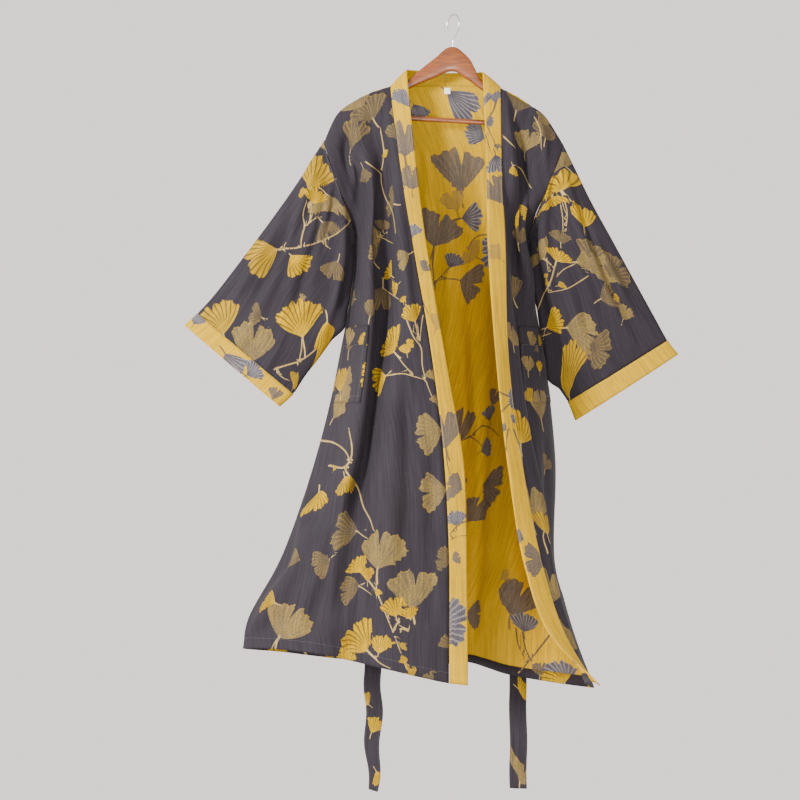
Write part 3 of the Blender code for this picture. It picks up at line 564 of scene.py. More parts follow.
# Colours of the two faces, by what is woven
CHARCOAL_FACE = {
    "ground": (0.0225, 0.0190, 0.0245, 1),
    "bright": (0.39, 0.236, 0.001, 1),
    "bright_deep": (0.25, 0.135, 0.001, 1),
    "vein": (0.060, 0.034, 0.006, 1),
    "pale": (0.165, 0.115, 0.036, 1),
    "pale_deep": (0.072, 0.055, 0.036, 1),
    "pale_vein": (0.23, 0.15, 0.034, 1),
    "pale_rim": (0.27, 0.165, 0.012, 1),
    "twig": (0.36, 0.255, 0.095, 1),
    "twig_deep": (0.19, 0.13, 0.05, 1),
    "sheen": 0.03,
}
YELLOW_FACE = {
    "ground": (0.45, 0.268, 0.003, 1),
    "bright": (0.085, 0.078, 0.092, 1),
    "bright_deep": (0.050, 0.045, 0.054, 1),
    "vein": (0.20, 0.18, 0.17, 1),
    "pale": (0.125, 0.092, 0.060, 1),
    "pale_deep": (0.075, 0.064, 0.058, 1),
    "pale_vein": (0.19, 0.135, 0.060, 1),
    "pale_rim": (0.07, 0.050, 0.036, 1),
    "twig": (0.085, 0.062, 0.040, 1),
    "twig_deep": (0.13, 0.09, 0.04, 1),
    "sheen": 0.02,
}
DARK_THREAD = (0.075, 0.07, 0.075, 1)
GOLD_THREAD = (0.60, 0.42, 0.07, 1)
WOOD_LIGHT = (0.23, 0.060, 0.005, 1)
WOOD_DEEP = (0.105, 0.022, 0.002, 1)
WOOD_RED = (0.17, 0.038, 0.003, 1)
WIRE_BRIGHT = (0.62, 0.60, 0.57, 1)
WIRE_DULL = (0.42, 0.40, 0.37, 1)
TAPE_LIGHT = (0.88, 0.87, 0.84, 1)
TAPE_DEEP = (0.70, 0.68, 0.64, 1)
FLOOR_LIGHT = (0.70, 0.66, 0.64, 1)
FLOOR_DEEP = (0.66, 0.62, 0.60, 1)

# Each sheet of cloth: the flat size it was cut to, how it is held, what it hangs from, and
# its area where it isn't a rectangle
CUTS = {
    "robe_back": (0.86, 1.23, "hung", ["hanger_wood"], 0.72),
    "robe_front_left": (0.47, 1.24, "hung", ["robe_back"], 0.36),
    "robe_front_right": (0.27, 1.26, "hung", ["robe_back"], 0.26),
    "pocket_left_patch": (0.13, 0.16, "hung", ["robe_front_left"], None),
    "pocket_right_patch": (0.13, 0.16, "hung", ["robe_front_right"], None),
    "neckband_left_cloth": (0.05, 1.38, "hung", ["robe_front_left"], 0.047),
    "neckband_right_cloth": (0.05, 1.43, "hung", ["robe_front_right"], 0.052),
    "sleeve_left_cloth": (0.55, 0.45, "hung", ["robe_back"], 0.19),
    "sleeve_right_cloth": (0.56, 0.47, "hung", ["robe_back"], 0.175),
    "cuff_left_cloth": (0.54, 0.038, "hung", ["sleeve_left_cloth"], None),
    "cuff_right_cloth": (0.53, 0.04, "hung", ["sleeve_right_cloth"], None),
    "belt_cloth": (0.037, 2.17, "hung", ["loop_left_cloth", "loop_right_cloth"], None),
    "loop_left_cloth": (0.01, 0.13, "hung", ["robe_back"], None),
    "loop_right_cloth": (0.01, 0.13, "hung", ["robe_back"], None),
    "label_tape": (0.013, 0.013, "hung", ["robe_back"], None),
}

# Studio and camera, in metres, and the lens in millimetres
FLOOR_HEIGHT = -1.9
FLOOR_RADIUS = 1.15
CAMERA_PLACE = (-0.110, -4.2, -0.796)
LENS = 91.3
SENSOR = 36.0
STUDIO_COLOUR = (0.84, 0.775, 0.745, 1)
STUDIO_LIGHT = 1.75
# Each lamp's name, place, aim, size, power and colour
LIGHTS = (
    ("key", (-2.7, -3.0, 0.2), (0.0, 0, -0.8), (0.8, 1.2), 350, (1.0, 0.985, 0.95)),
    ("side", (-3.0, -0.6, -0.2), (-0.2, 0, -0.8), (1.2, 2.0), 40, (0.97, 0.98, 1.0)),
    ("fill", (2.2, -3.6, -0.4), (0, 0, -0.8), (2.2, 2.2), 10, (0.96, 0.97, 1.0)),
    ("low", (0.12, -3.9, -1.0), (0.12, 0.1, -0.95), (0.7, 0.7), 80, (1.0, 0.99, 0.96)),
)


def unit(vectors):
    lengths = np.linalg.norm(vectors, axis=-1, keepdims=True)
    return vectors / np.maximum(lengths, 1e-9)


def smooth(low, high, value):
    """0 below low and 1 above high, with a soft change between."""
    share = np.clip((np.asarray(value, float) - low) / (high - low), 0, 1)
    return share * share * (3 - 2 * share)


def through(points, spans, before=None, after=None):
    """Points on a smooth curve through the given ones, spans[i] steps from each to the next."""
    knots = [np.asarray(point, float) for point in points]
    first = 2 * knots[0] - knots[1] if before is None else np.asarray(before, float)
    last = 2 * knots[-1] - knots[-2] if after is None else np.asarray(after, float)
    knots = [first, *knots, last]
    made = [knots[1]]
    for index, steps in enumerate(spans):
        a, b, c, d = knots[index : index + 4]
        ab, bc, cd = (
            max(np.linalg.norm(end - start), 1e-6) ** 0.5
            for start, end in ((a, b), (b, c), (c, d))
        )
        leave = bc * ((b - a) / ab - (c - a) / (ab + bc) + (c - b) / bc)
        reach = bc * ((c - b) / bc - (d - b) / (bc + cd) + (d - c) / cd)
        t = np.arange(1, steps + 1)[:, None] / steps
        made.extend(
            (2 * t**3 - 3 * t**2 + 1) * b
            + (t**3 - 2 * t**2 + t) * leave
            + (3 * t**2 - 2 * t**3) * c
            + (t**3 - t**2) * reach
        )
    return np.array(made)


def fine(spans):
    return [count * FINE for count in spans]


def neck_point(angle):
    """A point of the neck seam behind the hanger, by its angle from the left neck point."""
    turn = math.radians(angle)
    return (
        NECK_CENTRE - NECK_HALF_WIDTH * math.cos(turn),
        NECK_DEPTH * math.sin(turn),
        NECK_SEAM_HEIGHT + NECK_RISE_BEHIND * math.sin(turn),
    )


def rail_points(rail, side):
    """One rail from top to hem. side is -1 on a front and 1 on the back."""
    if isinstance(rail.top, tuple):
        x, y, z = rail.top
        roll = (x, y + side * SHOULDER_ROLL, z - SHOULDER_ROLL)
        before = (x, y - side * SHOULDER_ROLL, z - SHOULDER_ROLL)
        top = rail.top
    else:
        top = neck_point(rail.top)
        roll = (top[0], top[1] + NECK_FALL, top[2] - SHOULDER_ROLL)
        before = None
    falls = zip(rail.x, rail.y, (*HEIGHTS, rail.hem))
    return through((top, roll, *falls), fine(ROWS), before)


def panel(rails, side, spans, before=None, after=None):
    """A grid of points over a panel. before and after are rails past its seams, which the
    cloth runs on to below the armhole."""
    columns = [rail_points(rail, side) for rail in rails]
    grid = []
    for index in range(len(columns[0])):
        joined = index >= ARMHOLE_ROWS * FINE
        row = through(
            [column[index] for column in columns],
            fine(spans),
            before[index] if before is not None and joined else None,
            after[index] if after is not None and joined else None,
        )
        grid.append(row)
    grid = np.array(grid)
    grid[0, :, 1] = side * np.maximum(side * grid[0, :, 1], 0)
    grid[0] += unit(grid[2] - grid[0]) * RIDGE_INSET
    return grid


def part_seam(one, other):
    """Draws in two panels' edges, so that their walls clear each other where they turn."""
    seam = (one[0] + other[0]) / 2
    one[0][:] = seam
    other[0][:] = seam
    away = [unit(beside - edge) for edge, beside in (one, other)]
    opposed = np.clip(-(away[0] * away[1]).sum(axis=1), -1, 1)
    turn = np.minimum(np.arccos(opposed), MOST_TURN)
    lengths = SEAM_GAP / 2 + WALL / 2 * np.tan(turn / 2)
    for (edge, _), way in zip((one, other), away):
        edge += way * lengths[:, None]


def normals(grid, closed=False):
    """Unit normals of a grid, from its rows and columns."""
    down = np.gradient(grid, axis=0)
    if closed:
        across = (np.roll(grid, -1, axis=1) - np.roll(grid, 1, axis=1)) / 2
    else:
        across = np.gradient(grid, axis=1)
    return unit(np.cross(across, down))


def outward(grid, closed=False, face=-1):
    """Normals that point away from the wearer: to -Y on a front, to +Y on the back, and away
    from the middle line of a tube."""
    way = normals(grid, closed)
    if closed:
        middle = grid.mean(axis=1, keepdims=True)
        sign = np.sign(((grid - middle) * way).sum())
    else:
        sign = np.sign(way[..., 1].mean()) * face
    return way * sign


def sleeve_ring(section, count):
    """A closed ring of points round a sleeve, from its top edge down the front."""
    top, bottom = np.array(section.top, float), np.array(section.bottom, float)
    angle = 2 * math.pi * np.arange(count) / count
    share = (1 - np.cos(angle)) / 2
    x, z = (top[:, None] + (bottom - top)[:, None] * share)
    bulge = np.abs(np.sin(angle)) ** SLEEVE_FULLNESS
    lift = np.exp(-(((share - section.at) / RIDGE_WIDTH) ** 2))
    front = section.middle - section.front * bulge - section.ridge * lift * bulge
    back = section.middle + section.back * bulge
    return np.stack((x, np.where(np.sin(angle) > 0, front, back), z), axis=1)


def sleeve_tube(side, front, back):
    """The sleeve's rings from the armhole to the mouth. The last span is the cuff."""
    high = ARMHOLE_ROWS * FINE
    opening = np.concatenate((front[: high + 1], back[high - 1 : 0 : -1]))
    count = len(opening)
    sections = [sleeve_ring(section, count) for section in SLEEVES[side]]
    lower = (opening[0, 2] - opening[:, 2]) / (opening[0, 2] - opening[:, 2].min())
    clear = SLEEVE_START + UNDERARM_CLEAR * lower
    start = opening + unit(sections[0] - opening) * clear[:, None]
    spans = [step * FINE for step in (*SLEEVE_SPANS, 1)]
    rings = [
        through([start[point], *(ring[point] for ring in sections)], spans)
        for point in range(count)
    ]
    return np.array(rings).transpose(1, 0, 2)


def band_grid(side, rails):
    """The neckband's grid from the centre back round the neck and down to the hem."""
    free = rail_points(rails[0], -1)
    seam = rail_points(rails[1], -1)
    steps = (NECKBAND_STEPS - 1) * FINE
    angles = np.linspace(90, 180 if side == "right" else 0, steps + 1)[:-1]
    reach = abs(rails[0].top[0] - NECK_CENTRE)
    seam_line, free_line = [], []
    for angle in angles:
        turn = math.radians(angle)
        seam_line.append(neck_point(angle))
        free_line.append(
            (
                NECK_CENTRE - reach * math.cos(turn),
                rails[0].top[1] + (NECK_DEPTH + COLLAR_LEAN) * math.sin(turn),
                rails[0].top[2] + COLLAR_RISE_BEHIND * math.sin(turn),
            )
        )
    edge = np.array([*seam_line, *seam])
    free = np.array([*free_line, *free])
    width = np.linalg.norm(free - edge, axis=1, keepdims=True)
    start = edge + (free - edge) / width * BAND_SEAM_INSET
    shares = np.linspace(0, 1, BAND_SPANS + 1)[None, :, None]
    grid = start[:, None] * (1 - shares) + free[:, None] * shares
    grid[0, :, 0] = NECK_CENTRE + (1 if side == "right" else -1) * SEAM_GAP
    return grid


def flat_lengths(grid, closed=False):
    """How far each point is across and down its cloth, in millimetres, laid flat."""
    ring = np.concatenate((grid, grid[:, :1]), axis=1) if closed else grid
    steps = np.linalg.norm(np.diff(ring, axis=1), axis=2)
    across = np.concatenate((np.zeros((len(grid), 1)), np.cumsum(steps, axis=1)), axis=1)
    steps = np.linalg.norm(np.diff(ring, axis=0), axis=2)
    down = np.concatenate((np.zeros((1, ring.shape[1])), np.cumsum(steps, axis=0)))
    return across, down


def near_line(places, line):
    """Distance of each place from a line of points, its share along the line, and its side."""
    starts, ends = line[:-1], line[1:]
    best = np.full(len(places), 1e9)
    share = np.zeros(len(places))
    side = np.ones(len(places))
    total = len(starts)
    for index, (start, end) in enumerate(zip(starts, ends)):
        way = end - start
        length = max(way @ way, 1e-9)
        t = np.clip(((places - start) @ way) / length, 0, 1)
        away = places - (start + t[:, None] * way)
        distance = np.linalg.norm(away, axis=1)
        closer = distance < best
        best[closer] = distance[closer]
        share[closer] = ((index + t) / total)[closer]
        turn = way[0] * away[:, 1] - way[1] * away[:, 0]
        side[closer] = np.where(turn < 0, -1, 1)[closer]
    return best, share, side


def crease(grid, way, lines, keep):
    """Moves a grid along its outward way by soft ridges, height > 0, and troughs. Each line is
    (height, width, points), with its points' x and z as seen from the front."""
    rows, columns = grid.shape[:2]
    places = grid[..., (0, 2)].reshape(-1, 2)
    lift = np.zeros(len(places))
    for number, (height, width, points) in enumerate(lines):
        line = through(points, [6] * (len(points) - 1))
        away, share, _ = near_line(places, line)
        uneven = 1 + 0.25 * np.sin(share * 9 + number * 2.1)
        fade = np.sin(np.pi * np.clip(share, 0.02, 0.98)) ** 0.5
        lift += height * uneven * fade * np.exp(-((away / (width * uneven)) ** 2))
    grid += way * (lift.reshape(rows, columns) * keep)[..., None]


def ripple(grid, way, across, down, seed, height, keep):
    """Small uneven waves in the cloth, longer down the cloth than across it."""
    chance = np.random.default_rng(seed)
    lift = np.zeros(grid.shape[:2])
    for _ in range(14):
        wide, long = chance.uniform(11, 34), chance.uniform(90, 240)
        slant, start = chance.uniform(-0.25, 0.25), chance.uniform(0, 6.28)
        patch = 0.5 + 0.5 * np.sin(down / long * 3.1 + across / (wide * 5) + start * 3)
        lift += patch * np.sin(across / wide + slant * down / wide + start + down / long)
    grid += way * (lift * height / 5 * keep)[..., None]


def placed(name, mesh, looks):
    """An object of the robe with this mesh and these materials."""
    mesh.shade_smooth()
    for look in looks:
        mesh.materials.append(look)
    piece = bpy.data.objects.new(name, mesh)
    robe.objects.link(piece)
    return piece


def cloth(name, grid, way, looks, closed=False, wall=WALL):
    """A grid as a thin shell: looks are its outer and its inner cloth. Its UVs are the flat
    cloth's places in metres."""
    rows, columns = grid.shape[:2]
    across, down = flat_lengths(grid, closed)
    index = np.arange(rows * columns).reshape(rows, columns)
    here = np.arange(columns if closed else columns - 1)
    follow = (here + 1) % columns
    a, b = index[:-1, here], index[1:, here]
    c, d = index[1:, follow], index[:-1, follow]
    corners = ((0, 0), (1, 0), (1, 1), (0, 1))
    quads = np.stack((a, b, c, d), axis=-1)
    middle = rows // 2, len(here) // 2
    p = [grid.reshape(-1, 3)[quad] for quad in quads[middle]]
    facing = np.cross(p[1] - p[0], p[3] - p[0]) @ way[middle]
    places = []
    for down_by, across_by in corners:
        u = across[down_by : rows - 1 + down_by][:, here + across_by]
        v = down[down_by : rows - 1 + down_by][:, here + across_by]
        places.append(np.stack((u, v), axis=-1))
    places = np.stack(places, axis=2)
    if facing < 0:
        quads, places = quads[..., ::-1], places[:, :, ::-1]
    mesh = bpy.data.meshes.new(name)
    points = (grid.reshape(-1, 3) * MM).tolist()
    mesh.from_pydata(points, [], quads.reshape(-1, 4).tolist())
    layer = mesh.uv_layers.new(name="flat")
    layer.data.foreach_set("uv", (places.reshape(-1, 2) * MM).ravel())
    piece = placed(name, mesh, looks)
    shell = piece.modifiers.new("Wall", "SOLIDIFY")
    shell.thickness = wall * MM
    shell.offset = 0.0
    shell.material_offset = len(looks) - 1
    return piece


def leaf_reach(angle, vary, notch):
    """How far a fan leaf reaches from its foot in one direction, for a leaf 1 long."""
    half = LEAF_HALF + LEAF_HALF_MORE * vary
    scallops = 1 + 0.05 * np.cos(8 * angle + 9 * vary) + 0.03 * np.cos(21 * angle + 5 * vary)
    cleft = 1 - notch * np.exp(-(((angle - CLEFT_AT + 2 * CLEFT_AT * vary) / CLEFT_WIDTH) ** 2))
    corner = 1 - smooth(0.76, 1.0, np.abs(angle) / half)
    return scallops * cleft * corner


def leaf_field(grid, across, down, leaves, notch, use):
    """For each point: its place in the nearest leaf, from the leaf's foot with the leaf 1
    long, the leaf's tone and variant, and how far outside that leaf it is in millimetres."""
    rows, columns = grid.shape[:2]
    flat = grid.reshape(-1, 3)
    place = np.zeros((len(flat), 3))
    gate = np.full(len(flat), LEAF_SEARCH)
    usable = np.ones(len(flat), bool) if use is None else use.ravel()
    u, v = across[:, :columns].ravel(), down[:, :columns].ravel()
    ring = across[:, -1] if across.shape[1] > columns else None
    for number, (x, z, size, turn, tone) in enumerate(leaves):
        away = np.hypot(flat[:, 0] - x, flat[:, 2] - z)
        away[~usable] = 1e9
        nearest = int(np.argmin(away))
        i, j = divmod(nearest, columns)
        i = min(max(i, 1), rows - 2)
        if ring is None:
            j = min(max(j, 1), columns - 2)
        tangent_u = unit(grid[i, (j + 1) % columns] - grid[i, (j - 1) % columns])
        tangent_v = unit(grid[i + 1, j] - grid[i - 1, j])
        facing = unit(np.cross(tangent_u, tangent_v))
        upward = np.array((0.0, 0.0, 1.0))
        upward = unit(upward - facing * (upward @ facing))
        right = np.cross(upward, facing)
        right = right if right[0] > 0 else -right
        du, dv = u - across[i, j], v - down[i, j]
        if ring is not None:
            du = (du + ring[i] / 2) % ring[i] - ring[i] / 2
        px = du * (tangent_u @ right) + dv * (tangent_v @ right) + grid[i, j, 0] - x
        pz = du * (tangent_u @ upward) + dv * (tangent_v @ upward) + grid[i, j, 2] - z
        angle = math.radians(turn)
        ahead = (px * math.sin(angle) + pz * math.cos(angle)) / size
        aside = (px * math.cos(angle) - pz * math.sin(angle)) / size
        vary = (number * 0.618) % 1
        reach = leaf_reach(np.arctan2(aside, ahead), vary, notch)
        outside = (np.hypot(aside, ahead) - reach) * size
        along = np.clip(ahead, -LEAF_STALK, 0)
        stalk = np.hypot(ahead - along, aside - STALK_BEND * along**2) * size - 1.2
        outside = np.minimum(outside, stalk)
        outside[~usable] = FAR_OFF
        closer = outside < gate
        gate[closer] = outside[closer]
        place[closer] = np.stack((aside, ahead, np.full(len(flat), tone + vary)), 1)[closer]
    return place, gate


def twig_field(grid, twigs, use):
    """For each point: which side of the nearest twig it is on and how far, the twig's half
    width, and the distance once more without its side."""
    flat = grid.reshape(-1, 3)
    places = flat[:, (0, 2)]
    best = np.full(len(flat), FAR_OFF)
    signed = np.full(len(flat), FAR_OFF)
    width = np.ones(len(flat))
    usable = np.ones(len(flat), bool) if use is None else use.ravel()
    for half, points in twigs:
        line = through(points, [5] * (len(points) - 1))
        away, share, side = near_line(places, line)
        tapered = half * (1 - TWIG_TAPER * share)
        beyond = away - tapered
        closer = (beyond < best) & usable
        best[closer] = beyond[closer]
        signed[closer] = (away * side)[closer]
        width[closer] = tapered[closer]
    return np.stack((signed, width, best), axis=1)


def merged(fields):
    """One field from several: at each point the values whose distance is the smallest. Each
    field is (values, distances)."""
    values, nearest = fields[0]
    for other, distance in fields[1:]:
        closer = distance < nearest
        values[closer], nearest[closer] = other[closer], distance[closer]
    return values, nearest


def weave(piece, grid, *sides, closed=False):
    """Stores where the woven leaves and twigs lie on a piece, for its material. Each of sides
    is (leaves, twigs, which points): a tube's front and back layers have their own."""
    across, down = flat_lengths(grid, closed)
    stored = {}
    for name, tones, notch in (("under", PALE, PALE_NOTCH), ("over", BRIGHT, BRIGHT_NOTCH)):
        fields = []
        for leaves, _, use in sides:
            layer = [leaf for leaf in leaves if leaf[4] in tones]
            fields.append(leaf_field(grid, across, down, layer, notch, use))
        stored[name], stored[f"{name}_gate"] = merged(fields)
    fields = [twig_field(grid, twigs, use) for _, twigs, use in sides]
    stored["twig"], _ = merged([(field, field[:, 2].copy()) for field in fields])
    for name, values in stored.items():
        kind, slot = ("FLOAT_VECTOR", "vector") if values.ndim == 2 else ("FLOAT", "value")
        layer = piece.data.attributes.new(name, kind, "POINT")
        layer.data.foreach_set(slot, values.ravel())


def spray(x, z, turn, length, seed):
    """A twig with leaves on alternate sides, for cloth that the photograph doesn't show.
    Returns its leaves and its twigs."""
    chance = np.random.default_rng(seed)
    heading = math.radians(turn)
    bend = chance.uniform(-0.9, 0.9)
    points, leaves, twigs = [(x, z)], [], []
    for step in range(5):
        way = heading + bend * step / 5
        x, z = x + math.sin(way) * length / 5, z + math.cos(way) * length / 5
        points.append((x, z))
        side = 1 if step % 2 else -1
        lean = way + side * chance.uniform(0.6, 1.2)
        stalk = chance.uniform(24, 46)
        foot = (x + math.sin(lean) * stalk, z + math.cos(lean) * stalk)
        size = chance.uniform(26, 66)
        tone = chance.choice((1, 1, 2, 3, 4))
        leaves.append((*foot, size, math.degrees(lean), int(tone)))
        if step < 4:
            twigs.append((1.3, ((x, z), foot)))
    twigs.append((2.2, tuple(points)))
    return leaves, twigs


def sprays(rows):
    """The leaves and twigs of several sprays."""
    leaves, twigs = [], []
    for row in rows:
        more, lines = spray(*row)
        leaves += more
        twigs += lines
    return leaves, twigs


class Paint:
    """Short calls for the nodes of one material or group."""

    def __init__(self, tree):
        self.tree = tree

    def node(self, kind, **settings):
        made = self.tree.nodes.new(kind)
        for name, value in settings.items():
            setattr(made, name, value)
        return made

    def put(self, value, socket):
        if hasattr(value, "is_output"):
            self.tree.links.new(value, socket)
        else:
            socket.default_value = value

    def math(self, operation, *values):
        made = self.node("ShaderNodeMath", operation=operation)
        for socket, value in zip(made.inputs, values):
            self.put(value, socket)
        return made.outputs[0]

    def add(self, a, b):
        return self.math("ADD", a, b)

    def less(self, a, b):
        return self.math("SUBTRACT", a, b)

    def times(self, a, b):
        return self.math("MULTIPLY", a, b)

    def step(self, value, low, high, start=0.0, end=1.0):
        """start below low and end above high, with a soft change between."""
        made = self.node("ShaderNodeMapRange", interpolation_type="SMOOTHSTEP")
        for socket, given in zip(made.inputs, (value, low, high, start, end)):
            self.put(given, socket)
        return made.outputs[0]

    def bump_at(self, value, centre, width):
        """1 where value is at centre, falling to 0 about width away."""
        away = self.math("DIVIDE", self.less(value, centre), width)
        return self.math("EXPONENT", self.times(self.times(away, away), -1.0))

    def mix(self, share, one, other):
        made = self.node("ShaderNodeMix", data_type="RGBA")
        self.put(share, made.inputs[0])
        self.put(one, made.inputs[6])
        self.put(other, made.inputs[7])
        return made.outputs[2]

    def stretched(self, place, sizes):
        made = self.node("ShaderNodeMapping")
        self.put(place, made.inputs[0])
        made.inputs[3].default_value = sizes
        return made.outputs[0]

    def noise(self, place, scale, detail=2.0, rough=0.5, distortion=0.0):
        made = self.node("ShaderNodeTexNoise")
        self.put(place, made.inputs["Vector"])
        made.inputs["Scale"].default_value = scale
        made.inputs["Detail"].default_value = detail
        made.inputs["Roughness"].default_value = rough
        made.inputs["Distortion"].default_value = distortion
        return made.outputs["Fac"]

    def stored(self, name):
        return self.node("ShaderNodeAttribute", attribute_name=name)

    def relief(self, height, strength, distance, surface):
        """Small relief on a surface, from a height."""
        bump = self.node("ShaderNodeBump")
        bump.inputs["Strength"].default_value = strength
        bump.inputs["Distance"].default_value = distance
        self.put(height, bump.inputs["Height"])
        self.put(bump.outputs[0], surface.inputs["Normal"])


def leaf_group():
    """A node group that draws one fan leaf from a place in it, as leaf_reach does."""
    group = bpy.data.node_groups.new("fan leaf", "ShaderNodeTree")
    face = group.interface
    for name, kind in (("Place", "Vector"), ("Gate", "Float"), ("Notch", "Float")):
        face.new_socket(name, in_out="INPUT", socket_type=f"NodeSocket{kind}")
    for name in ("Leaf", "Vein", "Rim", "Stalk", "Tone", "Vary"):
        face.new_socket(name, in_out="OUTPUT", socket_type="NodeSocketFloat")
    paint = Paint(group)
    given = paint.node("NodeGroupInput")
    result = paint.node("NodeGroupOutput")
    split = paint.node("ShaderNodeSeparateXYZ")
    paint.put(given.outputs["Place"], split.inputs[0])
    aside, ahead, code = split.outputs
    tone = paint.math("FLOOR", code)
    vary = paint.less(code, tone)
    angle = paint.math("ARCTAN2", aside, ahead)
    radius = paint.math("SQRT", paint.add(paint.times(aside, aside), paint.times(ahead, ahead)))
    half = paint.add(LEAF_HALF, paint.times(vary, LEAF_HALF_MORE))
    wave = paint.math("COSINE", paint.add(paint.times(angle, 8.0), paint.times(vary, 9.0)))
    fine_wave = paint.math("COSINE", paint.add(paint.times(angle, 21.0), paint.times(vary, 5.0)))
    ragged = paint.math("COSINE", paint.add(paint.times(angle, 57.0), paint.times(vary, 31.0)))
    scallops = paint.add(
        paint.add(1.0, paint.times(wave, 0.03)),
        paint.add(paint.times(fine_wave, 0.03), paint.times(ragged, 0.012)),
    )
    cleft_at = paint.less(CLEFT_AT, paint.times(vary, 2 * CLEFT_AT))
    cleft = paint.bump_at(angle, cleft_at, CLEFT_WIDTH)
    cleft = paint.less(1.0, paint.times(cleft, given.outputs["Notch"]))
    turned = paint.math("DIVIDE", paint.math("ABSOLUTE", angle), half)
    corner = paint.step(turned, 0.76, 1.0, 1.0, 0.0)
    reach = paint.times(paint.times(scallops, cleft), corner)
    inside = paint.less(reach, radius)
    near = paint.step(given.outputs["Gate"], 1.5, 3.0, 1.0, 0.0)
    leaf = paint.times(paint.step(inside, -0.005, 0.015), near)
    ribs = paint.math("COSINE", paint.add(paint.times(angle, 31.0), paint.times(radius, 5.0)))
    vein = paint.step(ribs, 0.35, 0.85)
    vein = paint.times(vein, paint.step(radius, 0.16, 0.45))
    rim = paint.step(inside, 0.0, 0.05, 1.0, 0.0)
    back = paint.math("MINIMUM", ahead, 0.0)
    bend = paint.times(paint.times(back, back), STALK_BEND)
    off = paint.math("ABSOLUTE", paint.less(aside, bend))
    stalk = paint.step(off, STALK_HALF, STALK_HALF + 0.012, 1.0, 0.0)
    stalk = paint.times(stalk, paint.step(ahead, -LEAF_STALK, -LEAF_STALK + 0.05))
    stalk = paint.times(stalk, paint.step(ahead, 0.02, 0.12, 1.0, 0.0))
    stalk = paint.times(stalk, near)
    for name, value in zip(("Leaf", "Vein", "Rim", "Stalk", "Tone", "Vary"),
                           (leaf, vein, rim, stalk, tone, vary)):
        paint.put(value, result.inputs[name])
    return group


def new_material(name):
    made = bpy.data.materials.new(name)
    made.use_nodes = True
    paint = Paint(made.node_tree)
    return made, paint, made.node_tree.nodes["Principled BSDF"]


def thread_texture(paint, place):
    """The plain weave seen close: its slubs, its threads and its soft crushed lines."""
    warp = paint.noise(paint.stretched(place, (900.0, 45.0, 1.0)), 1.0, 3.0, 0.6)
    weft = paint.noise(paint.stretched(place, (45.0, 900.0, 1.0)), 1.0, 3.0, 0.6)
    slub = paint.noise(paint.stretched(place, (260.0, 9.0, 1.0)), 1.0, 3.0, 0.55)
    crush = paint.noise(paint.stretched(place, (95.0, 9.0, 1.0)), 1.0, 4.0, 0.6, 0.6)
    return warp, weft, slub, crush


